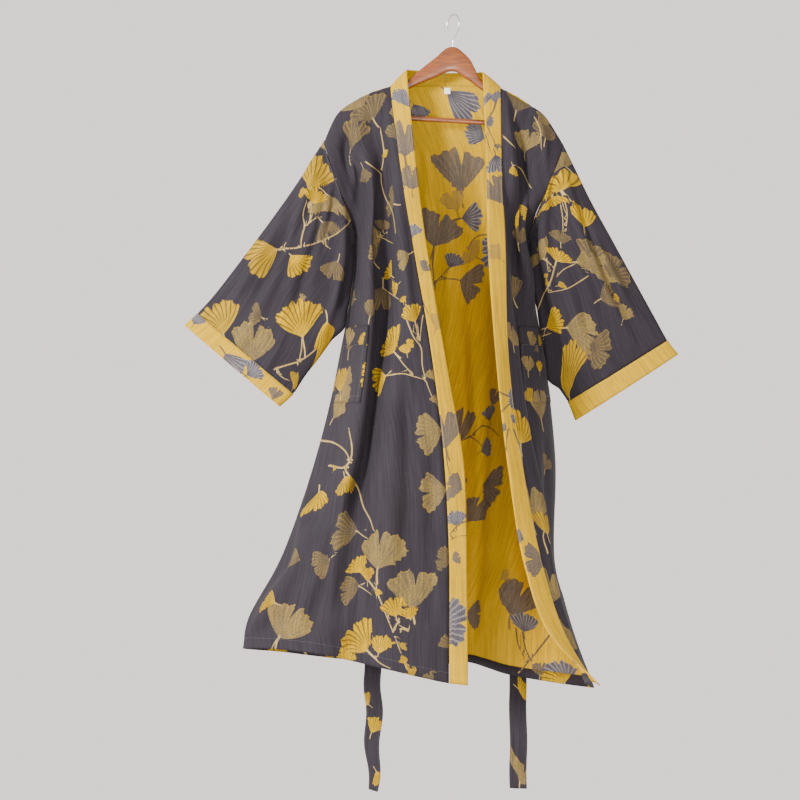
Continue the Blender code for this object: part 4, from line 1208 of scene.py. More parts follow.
def cloth_look(name, tones):
    """Double-faced jacquard cotton. tones are its colours, by what is woven."""
    made, paint, surface = new_material(name)
    place = paint.node("ShaderNodeUVMap", uv_map="flat").outputs[0]
    warp, weft, slub, crush = thread_texture(paint, place)
    threads = paint.add(paint.times(warp, 0.5), paint.times(weft, 0.5))
    shade = paint.step(slub, 0.3, 0.72, 0.80, 1.16)
    worn = paint.noise(place, 7.0, 3.0, 0.6)
    shade = paint.times(shade, paint.step(worn, 0.3, 0.75, 0.93, 1.06))
    shade = paint.times(shade, paint.step(threads, 0.35, 0.65, 0.88, 1.1))
    speck = paint.noise(paint.stretched(place, (520.0, 300.0, 1.0)), 1.0, 3.0, 0.7)
    patch = paint.noise(place, 26.0, 3.0, 0.6)
    parts = {}
    for layer, notch in (("under", PALE_NOTCH), ("over", BRIGHT_NOTCH)):
        drawn = paint.node("ShaderNodeGroup", node_tree=fan_leaf)
        paint.put(paint.stored(layer).outputs["Vector"], drawn.inputs["Place"])
        paint.put(paint.stored(f"{layer}_gate").outputs["Fac"], drawn.inputs["Gate"])
        drawn.inputs["Notch"].default_value = notch
        parts[layer] = drawn.outputs
    under, over = parts["under"], parts["over"]
    # Pale leaves: two threads mixed in a fine mottle, dim ones with more of the ground
    mottle = paint.step(paint.add(speck, paint.times(patch, 0.5)), 0.62, 0.92)
    pale = paint.mix(mottle, tones["pale"], tones["pale_deep"])
    dim = paint.step(under["Tone"], 3.2, 3.8)
    pale = paint.mix(paint.times(dim, 0.55), pale, tones["ground"])
    pale = paint.mix(paint.times(under["Vein"], 0.35), pale, tones["pale_vein"])
    pale = paint.mix(paint.times(under["Rim"], 0.6), pale, tones["pale_rim"])
    colour = paint.mix(under["Leaf"], tones["ground"], pale)
    colour = paint.mix(paint.times(under["Stalk"], 0.8), colour, tones["twig"])
    # Twigs, with a darker side
    line = paint.node("ShaderNodeSeparateXYZ")
    paint.put(paint.stored("twig").outputs["Vector"], line.inputs[0])
    signed, width, apart = line.outputs
    off = paint.math("ABSOLUTE", signed)
    ratio = paint.math("DIVIDE", off, width)
    knobs = paint.noise(place, 55.0, 1.0)
    twig = paint.step(paint.less(ratio, paint.times(knobs, 0.5)), 0.62, 0.88, 1.0, 0.0)
    twig = paint.times(twig, paint.step(apart, 2.2, 3.4, 1.0, 0.0))
    twig_colour = paint.mix(paint.step(signed, -0.8, 0.8), tones["twig"], tones["twig_deep"])
    colour = paint.mix(twig, colour, twig_colour)
    # Bright leaves, with dark veins and rim
    bright_mottle = paint.step(paint.add(speck, patch), 0.85, 1.25)
    bright = paint.mix(bright_mottle, tones["bright"], tones["bright_deep"])
    soft = paint.step(over["Tone"], 1.2, 1.8)
    bright = paint.mix(paint.times(soft, 0.75), bright, tones["pale_rim"])
    bright = paint.mix(paint.times(over["Vein"], 0.78), bright, tones["vein"])
    bright = paint.mix(paint.times(over["Rim"], 0.4), bright, tones["vein"])
    colour = paint.mix(over["Leaf"], colour, bright)
    colour = paint.mix(over["Stalk"], colour, tones["twig"])
    shaded = paint.node("ShaderNodeMix", data_type="RGBA", blend_type="MULTIPLY")
    shaded.inputs[0].default_value = 1.0
    grey = paint.node("ShaderNodeCombineColor")
    for socket in grey.inputs[:3]:
        paint.put(shade, socket)
    paint.put(colour, shaded.inputs[6])
    paint.put(grey.outputs[0], shaded.inputs[7])
    paint.put(shaded.outputs[2], surface.inputs["Base Color"])
    raised = paint.math("MAXIMUM", over["Leaf"], paint.math("MAXIMUM", under["Leaf"], twig))
    height = paint.add(paint.times(threads, 0.10), paint.times(crush, 0.85))
    height = paint.add(height, paint.times(raised, 0.10))
    height = paint.add(height, paint.times(over["Vein"], -0.08))
    paint.relief(height, 0.55, 0.0016, surface)
    paint.put(paint.step(threads, 0.3, 0.7, 0.78, 0.94), surface.inputs["Roughness"])
    surface.inputs["Specular IOR Level"].default_value = 0.12
    surface.inputs["Sheen Weight"].default_value = tones["sheen"]
    surface.inputs["Sheen Roughness"].default_value = 0.45
    return made


def thread_look(name, colour):
    made, paint, surface = new_material(name)
    place = paint.node("ShaderNodeTexCoord").outputs["Object"]
    twist = paint.noise(place, 900.0, 2.0)
    deep = tuple(value * 0.6 for value in colour[:3]) + (1.0,)
    paint.put(paint.mix(paint.step(twist, 0.35, 0.65), deep, colour), surface.inputs["Base Color"])
    surface.inputs["Roughness"].default_value = 0.6
    surface.inputs["Sheen Weight"].default_value = 0.2
    return made


def wood_look():
    """Orange-brown wood under a clear varnish, its grain along the hanger."""
    made, paint, surface = new_material("varnished wood")
    place = paint.node("ShaderNodeTexCoord").outputs["Object"]
    drift = paint.noise(paint.stretched(place, (3.0, 14.0, 14.0)), 1.0, 3.0)
    grain = paint.noise(paint.stretched(place, (16.0, 150.0, 150.0)), 1.0, 5.0, 0.65, 0.8)
    pores = paint.noise(paint.stretched(place, (60.0, 900.0, 900.0)), 1.0, 2.0)
    colour = paint.mix(paint.step(grain, 0.32, 0.68), WOOD_DEEP, WOOD_LIGHT)
    colour = paint.mix(paint.step(drift, 0.42, 0.7, 0.0, 0.6), colour, WOOD_RED)
    colour = paint.mix(paint.step(pores, 0.66, 0.74, 0.0, 0.45), colour, WOOD_DEEP)
    paint.put(colour, surface.inputs["Base Color"])
    paint.put(paint.step(grain, 0.3, 0.7, 0.42, 0.30), surface.inputs["Roughness"])
    surface.inputs["Coat Weight"].default_value = 0.12
    surface.inputs["Coat Roughness"].default_value = 0.12
    paint.relief(grain, 0.25, 0.0004, surface)
    return made


def wire_look():
    """Bright wire with a few dull spots."""
    made, paint, surface = new_material("hook wire")
    place = paint.node("ShaderNodeTexCoord").outputs["Object"]
    spots = paint.noise(place, 240.0, 3.0)
    colour = paint.mix(paint.step(spots, 0.45, 0.7), WIRE_BRIGHT, WIRE_DULL)
    paint.put(colour, surface.inputs["Base Color"])
    paint.put(paint.step(spots, 0.35, 0.7, 0.16, 0.38), surface.inputs["Roughness"])
    surface.inputs["Metallic"].default_value = 1.0
    return made


def label_look():
    made, paint, surface = new_material("label tape")
    place = paint.node("ShaderNodeUVMap", uv_map="flat").outputs[0]
    warp, weft, _, _ = thread_texture(paint, place)
    threads = paint.add(paint.times(warp, 0.5), paint.times(weft, 0.5))
    colour = paint.mix(paint.step(threads, 0.3, 0.7), TAPE_DEEP, TAPE_LIGHT)
    paint.put(colour, surface.inputs["Base Color"])
    paint.relief(threads, 1.0, 0.0003, surface)
    surface.inputs["Roughness"].default_value = 0.75
    return made


def floor_look():
    made, paint, surface = new_material("pale floor")
    place = paint.node("ShaderNodeTexCoord").outputs["Object"]
    mist = paint.noise(place, 1.4, 2.0)
    colour = paint.mix(paint.step(mist, 0.3, 0.7), FLOOR_DEEP, FLOOR_LIGHT)
    paint.put(colour, surface.inputs["Base Color"])
    surface.inputs["Roughness"].default_value = 0.9
    return made


def at_lengths(at, lengths, values):
    """The values, one for each of lengths, read off at one place or several between them."""
    return np.stack([np.interp(at, lengths, values[:, k]) for k in range(3)], axis=-1)


def resampled(line, ways, spacing):
    """Even places along a line, with the way the line runs and its outward way there."""
    lengths = np.concatenate(([0], np.cumsum(np.linalg.norm(np.diff(line, axis=0), axis=1))))
    at = np.arange(spacing / 2, lengths[-1], spacing)
    points = at_lengths(at, lengths, line)
    return points, unit(np.gradient(points, axis=0)), unit(at_lengths(at, lengths, ways))


def stitches(name, lines, look, lift=WALL / 2):
    """Rows of sewn stitches as short rounded bars on the cloth. Each line is (points, ways)."""
    profile = ((-0.5, 0.35), (-0.3, 1.0), (0.3, 1.0), (0.5, 0.35))
    verts, faces = [], []
    for line, ways in lines:
        for point, ahead, facing in zip(*resampled(line, ways, STITCH_STEP)):
            aside = np.cross(ahead, facing)
            first = len(verts)
            middle = point + facing * (lift + 0.05)
            for along, thick in profile:
                centre = middle + ahead * STITCH_LENGTH * along
                for turn in (0.8, 2.36, 3.93, 5.5):
                    arm = aside * math.cos(turn) + facing * math.sin(turn) * 0.8
                    verts.append((centre + arm * STITCH_HALF * thick) * MM)
            for ring in range(3):
                for k in range(4):
                    a, b = first + ring * 4 + k, first + ring * 4 + (k + 1) % 4
                    faces.append((a, b, b + 4, a + 4))
    mesh = bpy.data.meshes.new(name)
    mesh.from_pydata([tuple(v) for v in verts], [], faces)
    return placed(name, mesh, (look,))


def inset_column(grid, way, across, distance, last=False):
    """The line on a grid at one distance from its first or its last column."""
    line, ways = [], []
    for lengths, points, facing in zip(across, grid, way):
        lengths = lengths[: len(points)]
        at = lengths[-1] - distance if last else distance
        line.append(at_lengths(at, lengths, points))
        ways.append(at_lengths(at, lengths, facing))
    return np.array(line), unit(np.array(ways))


def edge_keep(across, down, reach):
    """0 at a panel's top and side seams and 1 further in, so that folds end before them."""
    from_end = across[:, -1:] - across
    sides = smooth(0, reach, across) * smooth(0, reach, from_end)
    return sides * smooth(0, FOLD_TOP, down)


def seam_dip(grid, way, across):
    """Draws the cloth in a little along its side seams, as sewing does, unevenly."""
    puckers = 1 + 0.35 * np.sin(np.arange(len(grid)) * 0.9)[:, None]
    for away in (across, across[:, -1:] - across):
        dip = SEAM_DIP * puckers * np.exp(-((away / SEAM_DIP_WIDTH) ** 2))
        grid -= way * dip[..., None]


def depth_at(back, x, z):
    """The back's outermost depth at a place of its outer face, or None beside it."""
    a, b, c, d = back[:-1, :-1], back[:-1, 1:], back[1:, :-1], back[1:, 1:]
    found = []
    for p, q, r in ((a, b, c), (d, c, b)):
        qx, qz = q[..., 0] - p[..., 0], q[..., 2] - p[..., 2]
        rx, rz = r[..., 0] - p[..., 0], r[..., 2] - p[..., 2]
        px, pz = x - p[..., 0], z - p[..., 2]
        area = qx * rz - qz * rx
        area[area == 0] = 1e-9
        u, v = (px * rz - pz * rx) / area, (qx * pz - qz * px) / area
        inside = (u >= 0) & (v >= 0) & (u + v <= 1)
        depth = p[..., 1] + u * (q[..., 1] - p[..., 1]) + v * (r[..., 1] - p[..., 1])
        found += list(depth[inside])
    return max(found) if found else None


def outermost(back, x, z, reach_x, reach_z):
    """The furthest depth of the back over a small rectangle, or None beside it."""
    places = [(x + i * reach_x, z + k * reach_z) for i in STENCIL for k in STENCIL]
    depths = [depth_at(back, *place) for place in places]
    depths = [depth for depth in depths if depth is not None]
    return max(depths) if depths else None


def eased(depths):
    """A smooth line on or outside these depths: the highest near each, then their mean."""
    padded = [depths[0]] * BELT_EASE + list(depths) + [depths[-1]] * BELT_EASE
    width = 2 * BELT_EASE + 1
    highest = [max(padded[i : i + width]) for i in range(len(depths))]
    padded = [highest[0]] * BELT_EASE + highest + [highest[-1]] * BELT_EASE
    return [sum(padded[i : i + width]) / width for i in range(len(depths))]


def flipped(step):
    """A step of the belt's right half, whose width runs the other way."""
    x, z, (wide_x, wide_z), twist = step
    return x, z, (-wide_x, wide_z), twist


def belt_grid(back):
    """The belt: up from its left end, across the back and down again, at a finer step."""
    route = []
    for side, x, sign in (("left", BELT_LEFT, 1), ("right", BELT_RIGHT, -1)):
        part = []
        for z in np.linspace(BELT_ENDS[side], BELT_HEIGHT - BELT_TURN, BELT_TAIL_SPANS):
            share = (z - BELT_ENDS[side]) / (BELT_HEIGHT - BELT_ENDS[side])
            twist = BELT_TWIST[side] * max(0.0, 1 - share / BELT_TWIST_SHARE)
            part.append((x, z, (-sign, 0), twist))
        for turn in np.radians(BELT_TURN_ANGLES):
            place = x + sign * BELT_TURN * (1 - math.cos(turn))
            height = BELT_HEIGHT - BELT_TURN * (1 - math.sin(turn))
            part.append((place, height, (-sign * math.cos(turn), math.sin(turn)), 0.0))
        route.append(part if sign > 0 else [flipped(step) for step in reversed(part)])
    between = np.linspace(BELT_LEFT + BELT_TURN, BELT_RIGHT - BELT_TURN, BELT_BACK_SPANS)
    route.insert(1, [(x, BELT_HEIGHT, (0, 1), 0.0) for x in between[1:-1]])
    steps = [step for part in route for step in part]
    half = BELT_WIDTH / 2 + BELT_MARGIN
    rest = [outermost(back, x, z, half, half) for x, z, *_ in steps]
    lowest = [depth for depth in rest if depth is not None]
    depths = eased(
        [
            (lowest[0] if index < len(rest) / 2 else lowest[-1]) if depth is None else depth
            for index, depth in enumerate(rest)
        ]
    )
    centres, halves = [], []
    for (x, z, (wide_x, wide_z), twist), depth in zip(steps, depths):
        centres.append((x, depth + BELT_LIFT, z))
        wide = np.array((wide_x, 0, wide_z)) * math.cos(twist)
        halves.append((wide + np.array((0, math.sin(twist), 0))) * BELT_WIDTH / 2)
    spans = [5] * (len(centres) - 1)
    centres, halves = through(centres, spans), through(halves, spans)
    shares = np.linspace(-1, 1, BELT_POINTS)
    grid = centres[:, None] + halves[:, None] * shares[None, :, None]
    height = grid[:, BELT_POINTS // 2, 2]
    first_half = np.arange(len(grid)) < len(grid) / 2
    cup = np.sin(np.linspace(0, 9, BELT_POINTS))[None] * BELT_CUP
    for side, sign, own in (("left", 1, first_half), ("right", -1, ~first_half)):
        own = (smooth(*BELT_FLARE_AT, -height) * own)[:, None]
        waves = np.sin((height - BELT_ENDS[side]) / 21.0)[:, None] * shares ** 2
        grid[..., 0] += sign * own * waves * BELT_FLARE[side]
        grid[..., 1] += own * cup
    return grid


def loop_grid(side, back, strip):
    """A narrow strip that stands off the back, round the belt."""
    sign = 1 if side == "left" else -1
    x = (BELT_LEFT if sign > 0 else BELT_RIGHT) + sign * (BELT_TURN + LOOP_WIDTH)
    middle = strip[:, BELT_POINTS // 2]
    level = middle[abs(middle[:, 2] - BELT_HEIGHT) < 1]
    lift = (WALL + LOOP_WALL) / 2 + 0.3
    sides = [np.interp(x + k * LOOP_WIDTH / 2, level[:, 0], level[:, 1]) for k in (-1, 1)]
    over = max(sides) + lift
    ends = LOOP_HEIGHT / 2
    foot, head = (
        outermost(back, x, BELT_HEIGHT + z, LOOP_WIDTH / 2 + BELT_MARGIN, 2) + lift
        for z in (-ends, ends)
    )
    bend = BELT_WIDTH / 2 + LOOP_CLEAR
    profile = [(0, foot, -ends), (0, foot + 1, -bend - LOOP_CLEAR), (0, over, -bend)]
    profile += [(0, over, bend), (0, head + 1, bend + LOOP_CLEAR), (0, head, ends)]
    line = through(profile, [4, 5, 10, 5, 4])
    shares = np.linspace(-LOOP_WIDTH / 2, LOOP_WIDTH / 2, 5)
    grid = np.repeat(line[:, None], 5, axis=1)
    grid[..., 0] = x + shares[None]
    grid[..., 2] += BELT_HEIGHT
    return grid


def label_grid(back):
    """The small blank label on the inner face, under the neck seam."""
    middle = sum(BACK_SPANS[:4]) * FINE
    lengths = flat_lengths(back)[1][:, middle]
    rows = []
    for drop in np.linspace(LABEL_DROP, LABEL_DROP + LABEL_HEIGHT, 8):
        centre, before, after = (
            np.array([np.interp(drop, lengths, back[:, middle + k, axis]) for axis in range(3)])
            for k in (0, -3, 3)
        )
        across = unit(after - before)
        curl = 0.6 * smooth(LABEL_DROP + 6, LABEL_DROP + LABEL_HEIGHT, drop)
        inward = np.array((0, -(WALL / 2 + LAY_GAP + LABEL_WALL / 2 + LABEL_CREST + curl), 0))
        rows.append([centre + inward + across * LABEL_WIDTH * k for k in np.linspace(-0.5, 0.5, 8)])
    return np.array(rows)


def finish(name, shape, look):
    """The object of a bmesh, which is used up."""
    bmesh.ops.recalc_face_normals(shape, faces=shape.faces)
    mesh = bpy.data.meshes.new(name)
    shape.to_mesh(mesh)
    shape.free()
    return placed(name, mesh, (look,))


def circle(centre, aside, other, radius, sides):
    """A ring of places round a centre, across the two given ways."""
    turns = np.linspace(0, 2 * math.pi, sides, endpoint=False)
    return [centre + (aside * math.cos(t) + other * math.sin(t)) * radius for t in turns]


def loft(name, rings, look):
    """The solid through rings of places, closed at both ends."""
    shape = bmesh.new()
    rings = [[shape.verts.new(place * MM) for place in ring] for ring in rings]
    for one, other in zip(rings, rings[1:]):
        for index in range(len(one)):
            follow = (index + 1) % len(one)
            shape.faces.new((one[index], one[follow], other[follow], other[index]))
    shape.faces.new(rings[0][::-1])
    shape.faces.new(rings[-1])
    return finish(name, shape, look)


def rounded(value):
    return math.copysign(abs(value) ** HANGER_ROUNDING, value)


def hanger_body(tops, look):
    """The wooden arms: one smooth loft whose top lies just under the shoulders' cloth."""

    def ridge(x):
        return min(np.interp(x, row[:, 0], row[:, 2]) for row in tops) - ARM_CLEAR

    crown = through(np.array(HANGER_CROWN, float), [4] * (len(HANGER_CROWN) - 1))
    stations = []
    for x in np.linspace(HANGER_END_LEFT, crown[0][0], ARM_STEPS)[:-1]:
        stations.append((x, ridge(x), ridge(x) - ARM_HEIGHT))
    stations += [tuple(row) for row in crown]
    for x in np.linspace(crown[-1][0], HANGER_END_RIGHT, ARM_STEPS)[1:]:
        stations.append((x, ridge(x), ridge(x) - ARM_HEIGHT))
    rings = []
    for x, top, under in stations:
        end = min(x - HANGER_END_LEFT, HANGER_END_RIGHT - x)
        close = 0.55 + 0.45 * math.sqrt(min(end / 9, 1))
        middle, half = (top + under) / 2, (top - under) / 2 * close
        rings.append([])
        for index in range(HANGER_SIDES * 2):
            turn = math.pi * index / HANGER_SIDES
            y = HANGER_DEPTH / 2 * close * rounded(math.cos(turn))
            z = middle + half * rounded(math.sin(turn))
            rings[-1].append(np.array((x, y, z)))
    return loft("hanger_wood", rings, look)


def turned_rod(name, start, end, radius, look):
    """A turned dowel with slightly rounded ends and a hardly uneven girth."""
    start, end = np.array(start), np.array(end)
    length = np.linalg.norm(end - start)
    ahead = (end - start) / length
    aside = unit(np.cross(ahead, (0.0, 1.0, 0.0)))
    other = np.cross(ahead, aside)
    near = (0, 0.4, 1.4, 3)
    places = (*near, *np.linspace(8, length - 8, 60), *(length - at for at in near[::-1]))
    rings = []
    for at in places:
        ease = min(min(at, length - at) / 2.0, 1.0)
        girth = radius * (0.8 + 0.2 * math.sqrt(ease)) * (1 + 0.012 * math.sin(at / 23))
        rings.append(circle(start + ahead * at, aside, other, girth, BAR_SIDES))
    return loft(name, rings, look)


def hook(look):
    """The wire hook: most of a ring, then an S down to its stem in the wood."""
    centre = HOOK_WIRE / 2 - HOOK_RADIUS
    turns = np.radians(np.arange(*HOOK_RING))
    line = [(HOOK_RADIUS * math.cos(t), centre + HOOK_RADIUS * math.sin(t)) for t in turns]
    line += HOOK_NECK
    stem = through(line, [4] * (len(line) - 1))
    points = np.array(
        [(a * math.cos(HOOK_TURN), -a * math.sin(HOOK_TURN), z) for a, z in stem]
    )
    ahead = unit(np.gradient(points, axis=0))
    flat = np.array((math.sin(HOOK_TURN), math.cos(HOOK_TURN), 0.0))
    aside = unit(np.cross(ahead, flat))
    rings = []
    for index, place in enumerate(points):
        tip = min(index / 2.5, 1.0)
        girth = HOOK_WIRE / 2 * (0.55 + 0.45 * math.sqrt(tip))
        rings.append(circle(place, aside[index], flat, girth, WIRE_SIDES))
    return loft("hook_metal", rings, look)


robe = bpy.data.collections.new("robe")
bpy.context.scene.collection.children.link(robe)
fan_leaf = leaf_group()
charcoal = cloth_look("charcoal cloth", CHARCOAL_FACE)
yellow = cloth_look("yellow cloth", YELLOW_FACE)
dark_thread = thread_look("charcoal thread", DARK_THREAD)
gold_thread = thread_look("yellow thread", GOLD_THREAD)
tape = label_look()
varnish = wood_look()
wire = wire_look()


def settle(piece, slot, *nodes):
    """The piece rides with the body and stands for these CAD nodes, if any are given."""
    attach(piece, "root")
    if nodes:
        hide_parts(*nodes)
    return piece


def sewn(name, lines, look, slot, lift=WALL / 2):
    return settle(stitches(name, lines, look, lift), slot)


def round_row(grid, way, row):
    """One row of a tube, closed, and its outward ways."""
    return tuple(np.concatenate((part[row], part[row][:1])) for part in (grid, way))


def hem_strip(name, grid, way, down, leaves, twigs):
    """The turned-up hem inside: a strip made from the panel's own points, moved in."""
    step = (down[-1] - down[-2]).mean()
    count = int(round(HEM_DEEP / step)) + 1
    part, facing = grid[-count:, 3:-3], way[-count:, 3:-3]
    strip = part - facing * HEM_LAY
    piece = cloth(name, strip, -facing, (charcoal,), wall=0.8)
    weave(piece, strip, (leaves, twigs, None))
    return settle(piece, "charcoal_cloth")


def panel_pieces(name, node, grid, way, down, leaves, twigs):
    """A body panel, its turned-up hem and the hem's stitches."""
    piece = cloth(name, grid, way, (charcoal, yellow))
    weave(piece, grid, (leaves, twigs, None))
    settle(piece, "charcoal_cloth", node)
    strip = hem_strip(f"hem_{node}", grid, way, down, leaves, twigs)
    turned = grid.swapaxes(0, 1), way.swapaxes(0, 1)
    hem_line = inset_column(*turned, down.T, HEM_DEEP, last=True)
    seams = sewn(f"hem_stitches_{node}", [hem_line], dark_thread, "charcoal_cloth")
    return piece, strip, seams


def close_underarm(tube, seam, toward):
    """Moves the sleeve's inner edge near the body's side seam, as the cloth hangs there."""
    order = np.argsort(seam[:, 2])
    for ring in tube:
        edge = ring[(ring[:, 0] * toward).argmax()]
        body = np.interp(edge[2], seam[order, 2], seam[order, 0])
        gap = (body - edge[0]) * toward
        shift = min(max(gap - SLEEVE_GAP, 0), 12) * (1 - smooth(13, 24, gap))
        near = np.exp(-(((edge[0] - ring[:, 0]) / 14) ** 2))
        ring[:, 0] += toward * shift * near


before = rail_points(LEFT_FRONT[-2], -1)
after = rail_points(RIGHT_FRONT[-2], -1)
back = panel(BACK, 1, BACK_SPANS, before, after)
fronts = {}
low = slice(ARMHOLE_ROWS * FINE, None)
for side, rails, beside, edge, inner in (
    ("left", LEFT_FRONT, rail_points(BACK[1], 1), 0, 1),
    ("right", RIGHT_FRONT, rail_points(BACK[-2], 1), -1, -2),
):
    free = rail_points(rails[0], -1)
    fronts[side] = front = panel(rails[1:], -1, FRONT_SPANS[side], free, beside)
    part_seam((front[low, -1], front[low, -2]), (back[low, edge], back[low, inner]))
collar = np.concatenate(
    [band_grid("left", LEFT_FRONT)[:, 0], band_grid("right", RIGHT_FRONT)[:, 0]]
)
for point in back[0]:
    apart = np.linalg.norm(collar - point, axis=1)
    nearest = apart.argmin()
    if apart[nearest] < NECK_REACH:
        point[:] = collar[nearest]
tops = (fronts["left"][0].copy(), fronts["right"][0].copy(), back[0].copy())

# The back, with faint gathers under its neck seam
way = outward(back, face=1)
across, down = flat_lengths(back)
keep = edge_keep(across, down, FOLD_SIDES["back"])
crease(back, way, FOLDS["back"], keep)
crease(back, way, HIDDEN_BACK_FOLDS, keep)
ripple(back, way, across, down, *RIPPLES["back"], keep)
from_neck = np.abs(back[..., 0] - NECK_CENTRE)
fall = np.exp(-down / GATHER_FADE) * smooth(0, 5, down)
fall *= 1 - smooth(*GATHER_ENDS, from_neck)
crimp = np.sin(back[..., 0] / 2.6 + 1.3 * np.sin(back[..., 0] / 9.0))
back += way * (crimp * fall * GATHER_LIFT)[..., None]
seam_dip(back, way, across)
more, lines = sprays(BACK_SPRAYS)
leaves, twigs = list(LEAVES["back"]) + more, list(TWIGS["back"]) + lines
sheets = {}
sheets["robe_back"] = panel_pieces("robe_back", "back", back, way, down, leaves, twigs)

# The two fronts, their pockets and bands
front_ways = {}
for side, rails in (("left", LEFT_FRONT), ("right", RIGHT_FRONT)):
    front = fronts[side]
    way = outward(front)
    across, down = flat_lengths(front)
    keep = edge_keep(across, down, FOLD_SIDES["front"])
    crease(front, way, FOLDS[f"front_{side}"], keep * FOLD_MORE)
    ripple(front, way, across, down, *RIPPLES[side], keep)
    seam_dip(front, way, across)
    leaves, twigs = LEAVES[f"front_{side}"], TWIGS[f"front_{side}"]
    name = f"robe_front_{side}"
    sheets[name] = panel_pieces(name, f"front_{side}", front, way, down, leaves, twigs)
    way = outward(front)
    front_ways[side] = way

    # Pocket: the front's own points, moved out, with a band sewn along its mouth
    first, last = (column * FINE for column in POCKET_SPANS[side])
    top, bottom = (row * FINE for row in POCKET_ROWS)
    lifted = front + way * (WALL + LAY_GAP)
    slack = smooth(0, 14, np.arange(bottom - top + 1)[::-1])[:, None] * POCKET_SLACK
    patch = lifted[top : bottom + 1, first : last + 1]
    facing = way[top : bottom + 1, first : last + 1]
    fall = np.linspace(0, 1, last - first + 1)[None]
    edge_lift = np.exp(-((fall * (last - first) / FINE) ** 2)) * POCKET_EDGE_LIFT
    bow = slack * np.sin(np.pi * fall) * np.exp(-np.arange(bottom - top + 1)[:, None] / 9.0)
    patch = patch + facing * (edge_lift + bow)[..., None]
    piece = cloth(f"pocket_{side}_patch", patch, facing, (charcoal, yellow))
    weave(piece, patch, (leaves, (), None))
    settle(piece, "charcoal_cloth", f"pocket_{side}")
    rows = max(int(round(POCKET_BAND / POCKET_STEP)), 3)
    strip = patch[: rows + 1] + facing[: rows + 1] * (WALL / 2 + POCKET_BAND_LAY)
    band = cloth(f"pocket_{side}_band", strip, facing[: rows + 1], (charcoal,), wall=POCKET_BAND_WALL)
    weave(band, strip, (POCKET_LEAVES[side], (), None))
    settle(band, "charcoal_cloth")
    rim = [(part[:, 2], part[:, -3], part[-3]) for part in (patch, facing)]
    rim = list(zip(*rim))
    seams = sewn(f"pocket_{side}_stitches", rim, dark_thread, "charcoal_cloth")
    under = [(strip[-1] + facing[rows] * 0.1, facing[rows])]
    hem = sewn(f"pocket_{side}_band_stitches", under, dark_thread, "charcoal_cloth", POCKET_BAND_WALL / 2)
    sheets[f"pocket_{side}_patch"] = (piece, band, seams, hem)

    # Neckband: double cloth, yellow side out, a little padded between its two edges
    grid = band_grid(side, rails)
    collar_way = outward(grid)
    share = np.linspace(0, 1, BAND_SPANS + 1)[None]
    crown = np.sin(np.pi * share) ** 0.7 * BAND_CROWN
    across, down = flat_lengths(grid)
    waves = np.sin(down / 23 + np.sin(down / 71) * 2 + (0 if side == "left" else 2)) * BAND_WAVE
    grid += collar_way * (crown + waves * np.sin(np.pi * share) - BAND_SINK)[..., None]
    crimp = np.sin(down / 1.7 + 1.4 * np.sin(down / 7.0)) * (1 - smooth(*CRIMP_ENDS, down))
    grid += collar_way * (crimp * (1 - 0.75 * share) * COLLAR_CRIMP)[..., None]
    piece = cloth(f"neckband_{side}_cloth", grid, collar_way, (yellow,), wall=BAND_WALL)
    weave(piece, grid, (LEAVES[f"band_{side}"], TWIGS[f"band_{side}"], None))
    settle(piece, "yellow_cloth", f"neckband_{side}")
    rows = [inset_column(grid, collar_way, across, BAND_STITCHES[0]),
            inset_column(grid, collar_way, across, BAND_STITCHES[1], last=True)]
    seams = sewn(f"neckband_{side}_stitches", rows, gold_thread, "yellow_cloth", BAND_WALL / 2)
    sheets[f"neckband_{side}_cloth"] = (piece, seams)

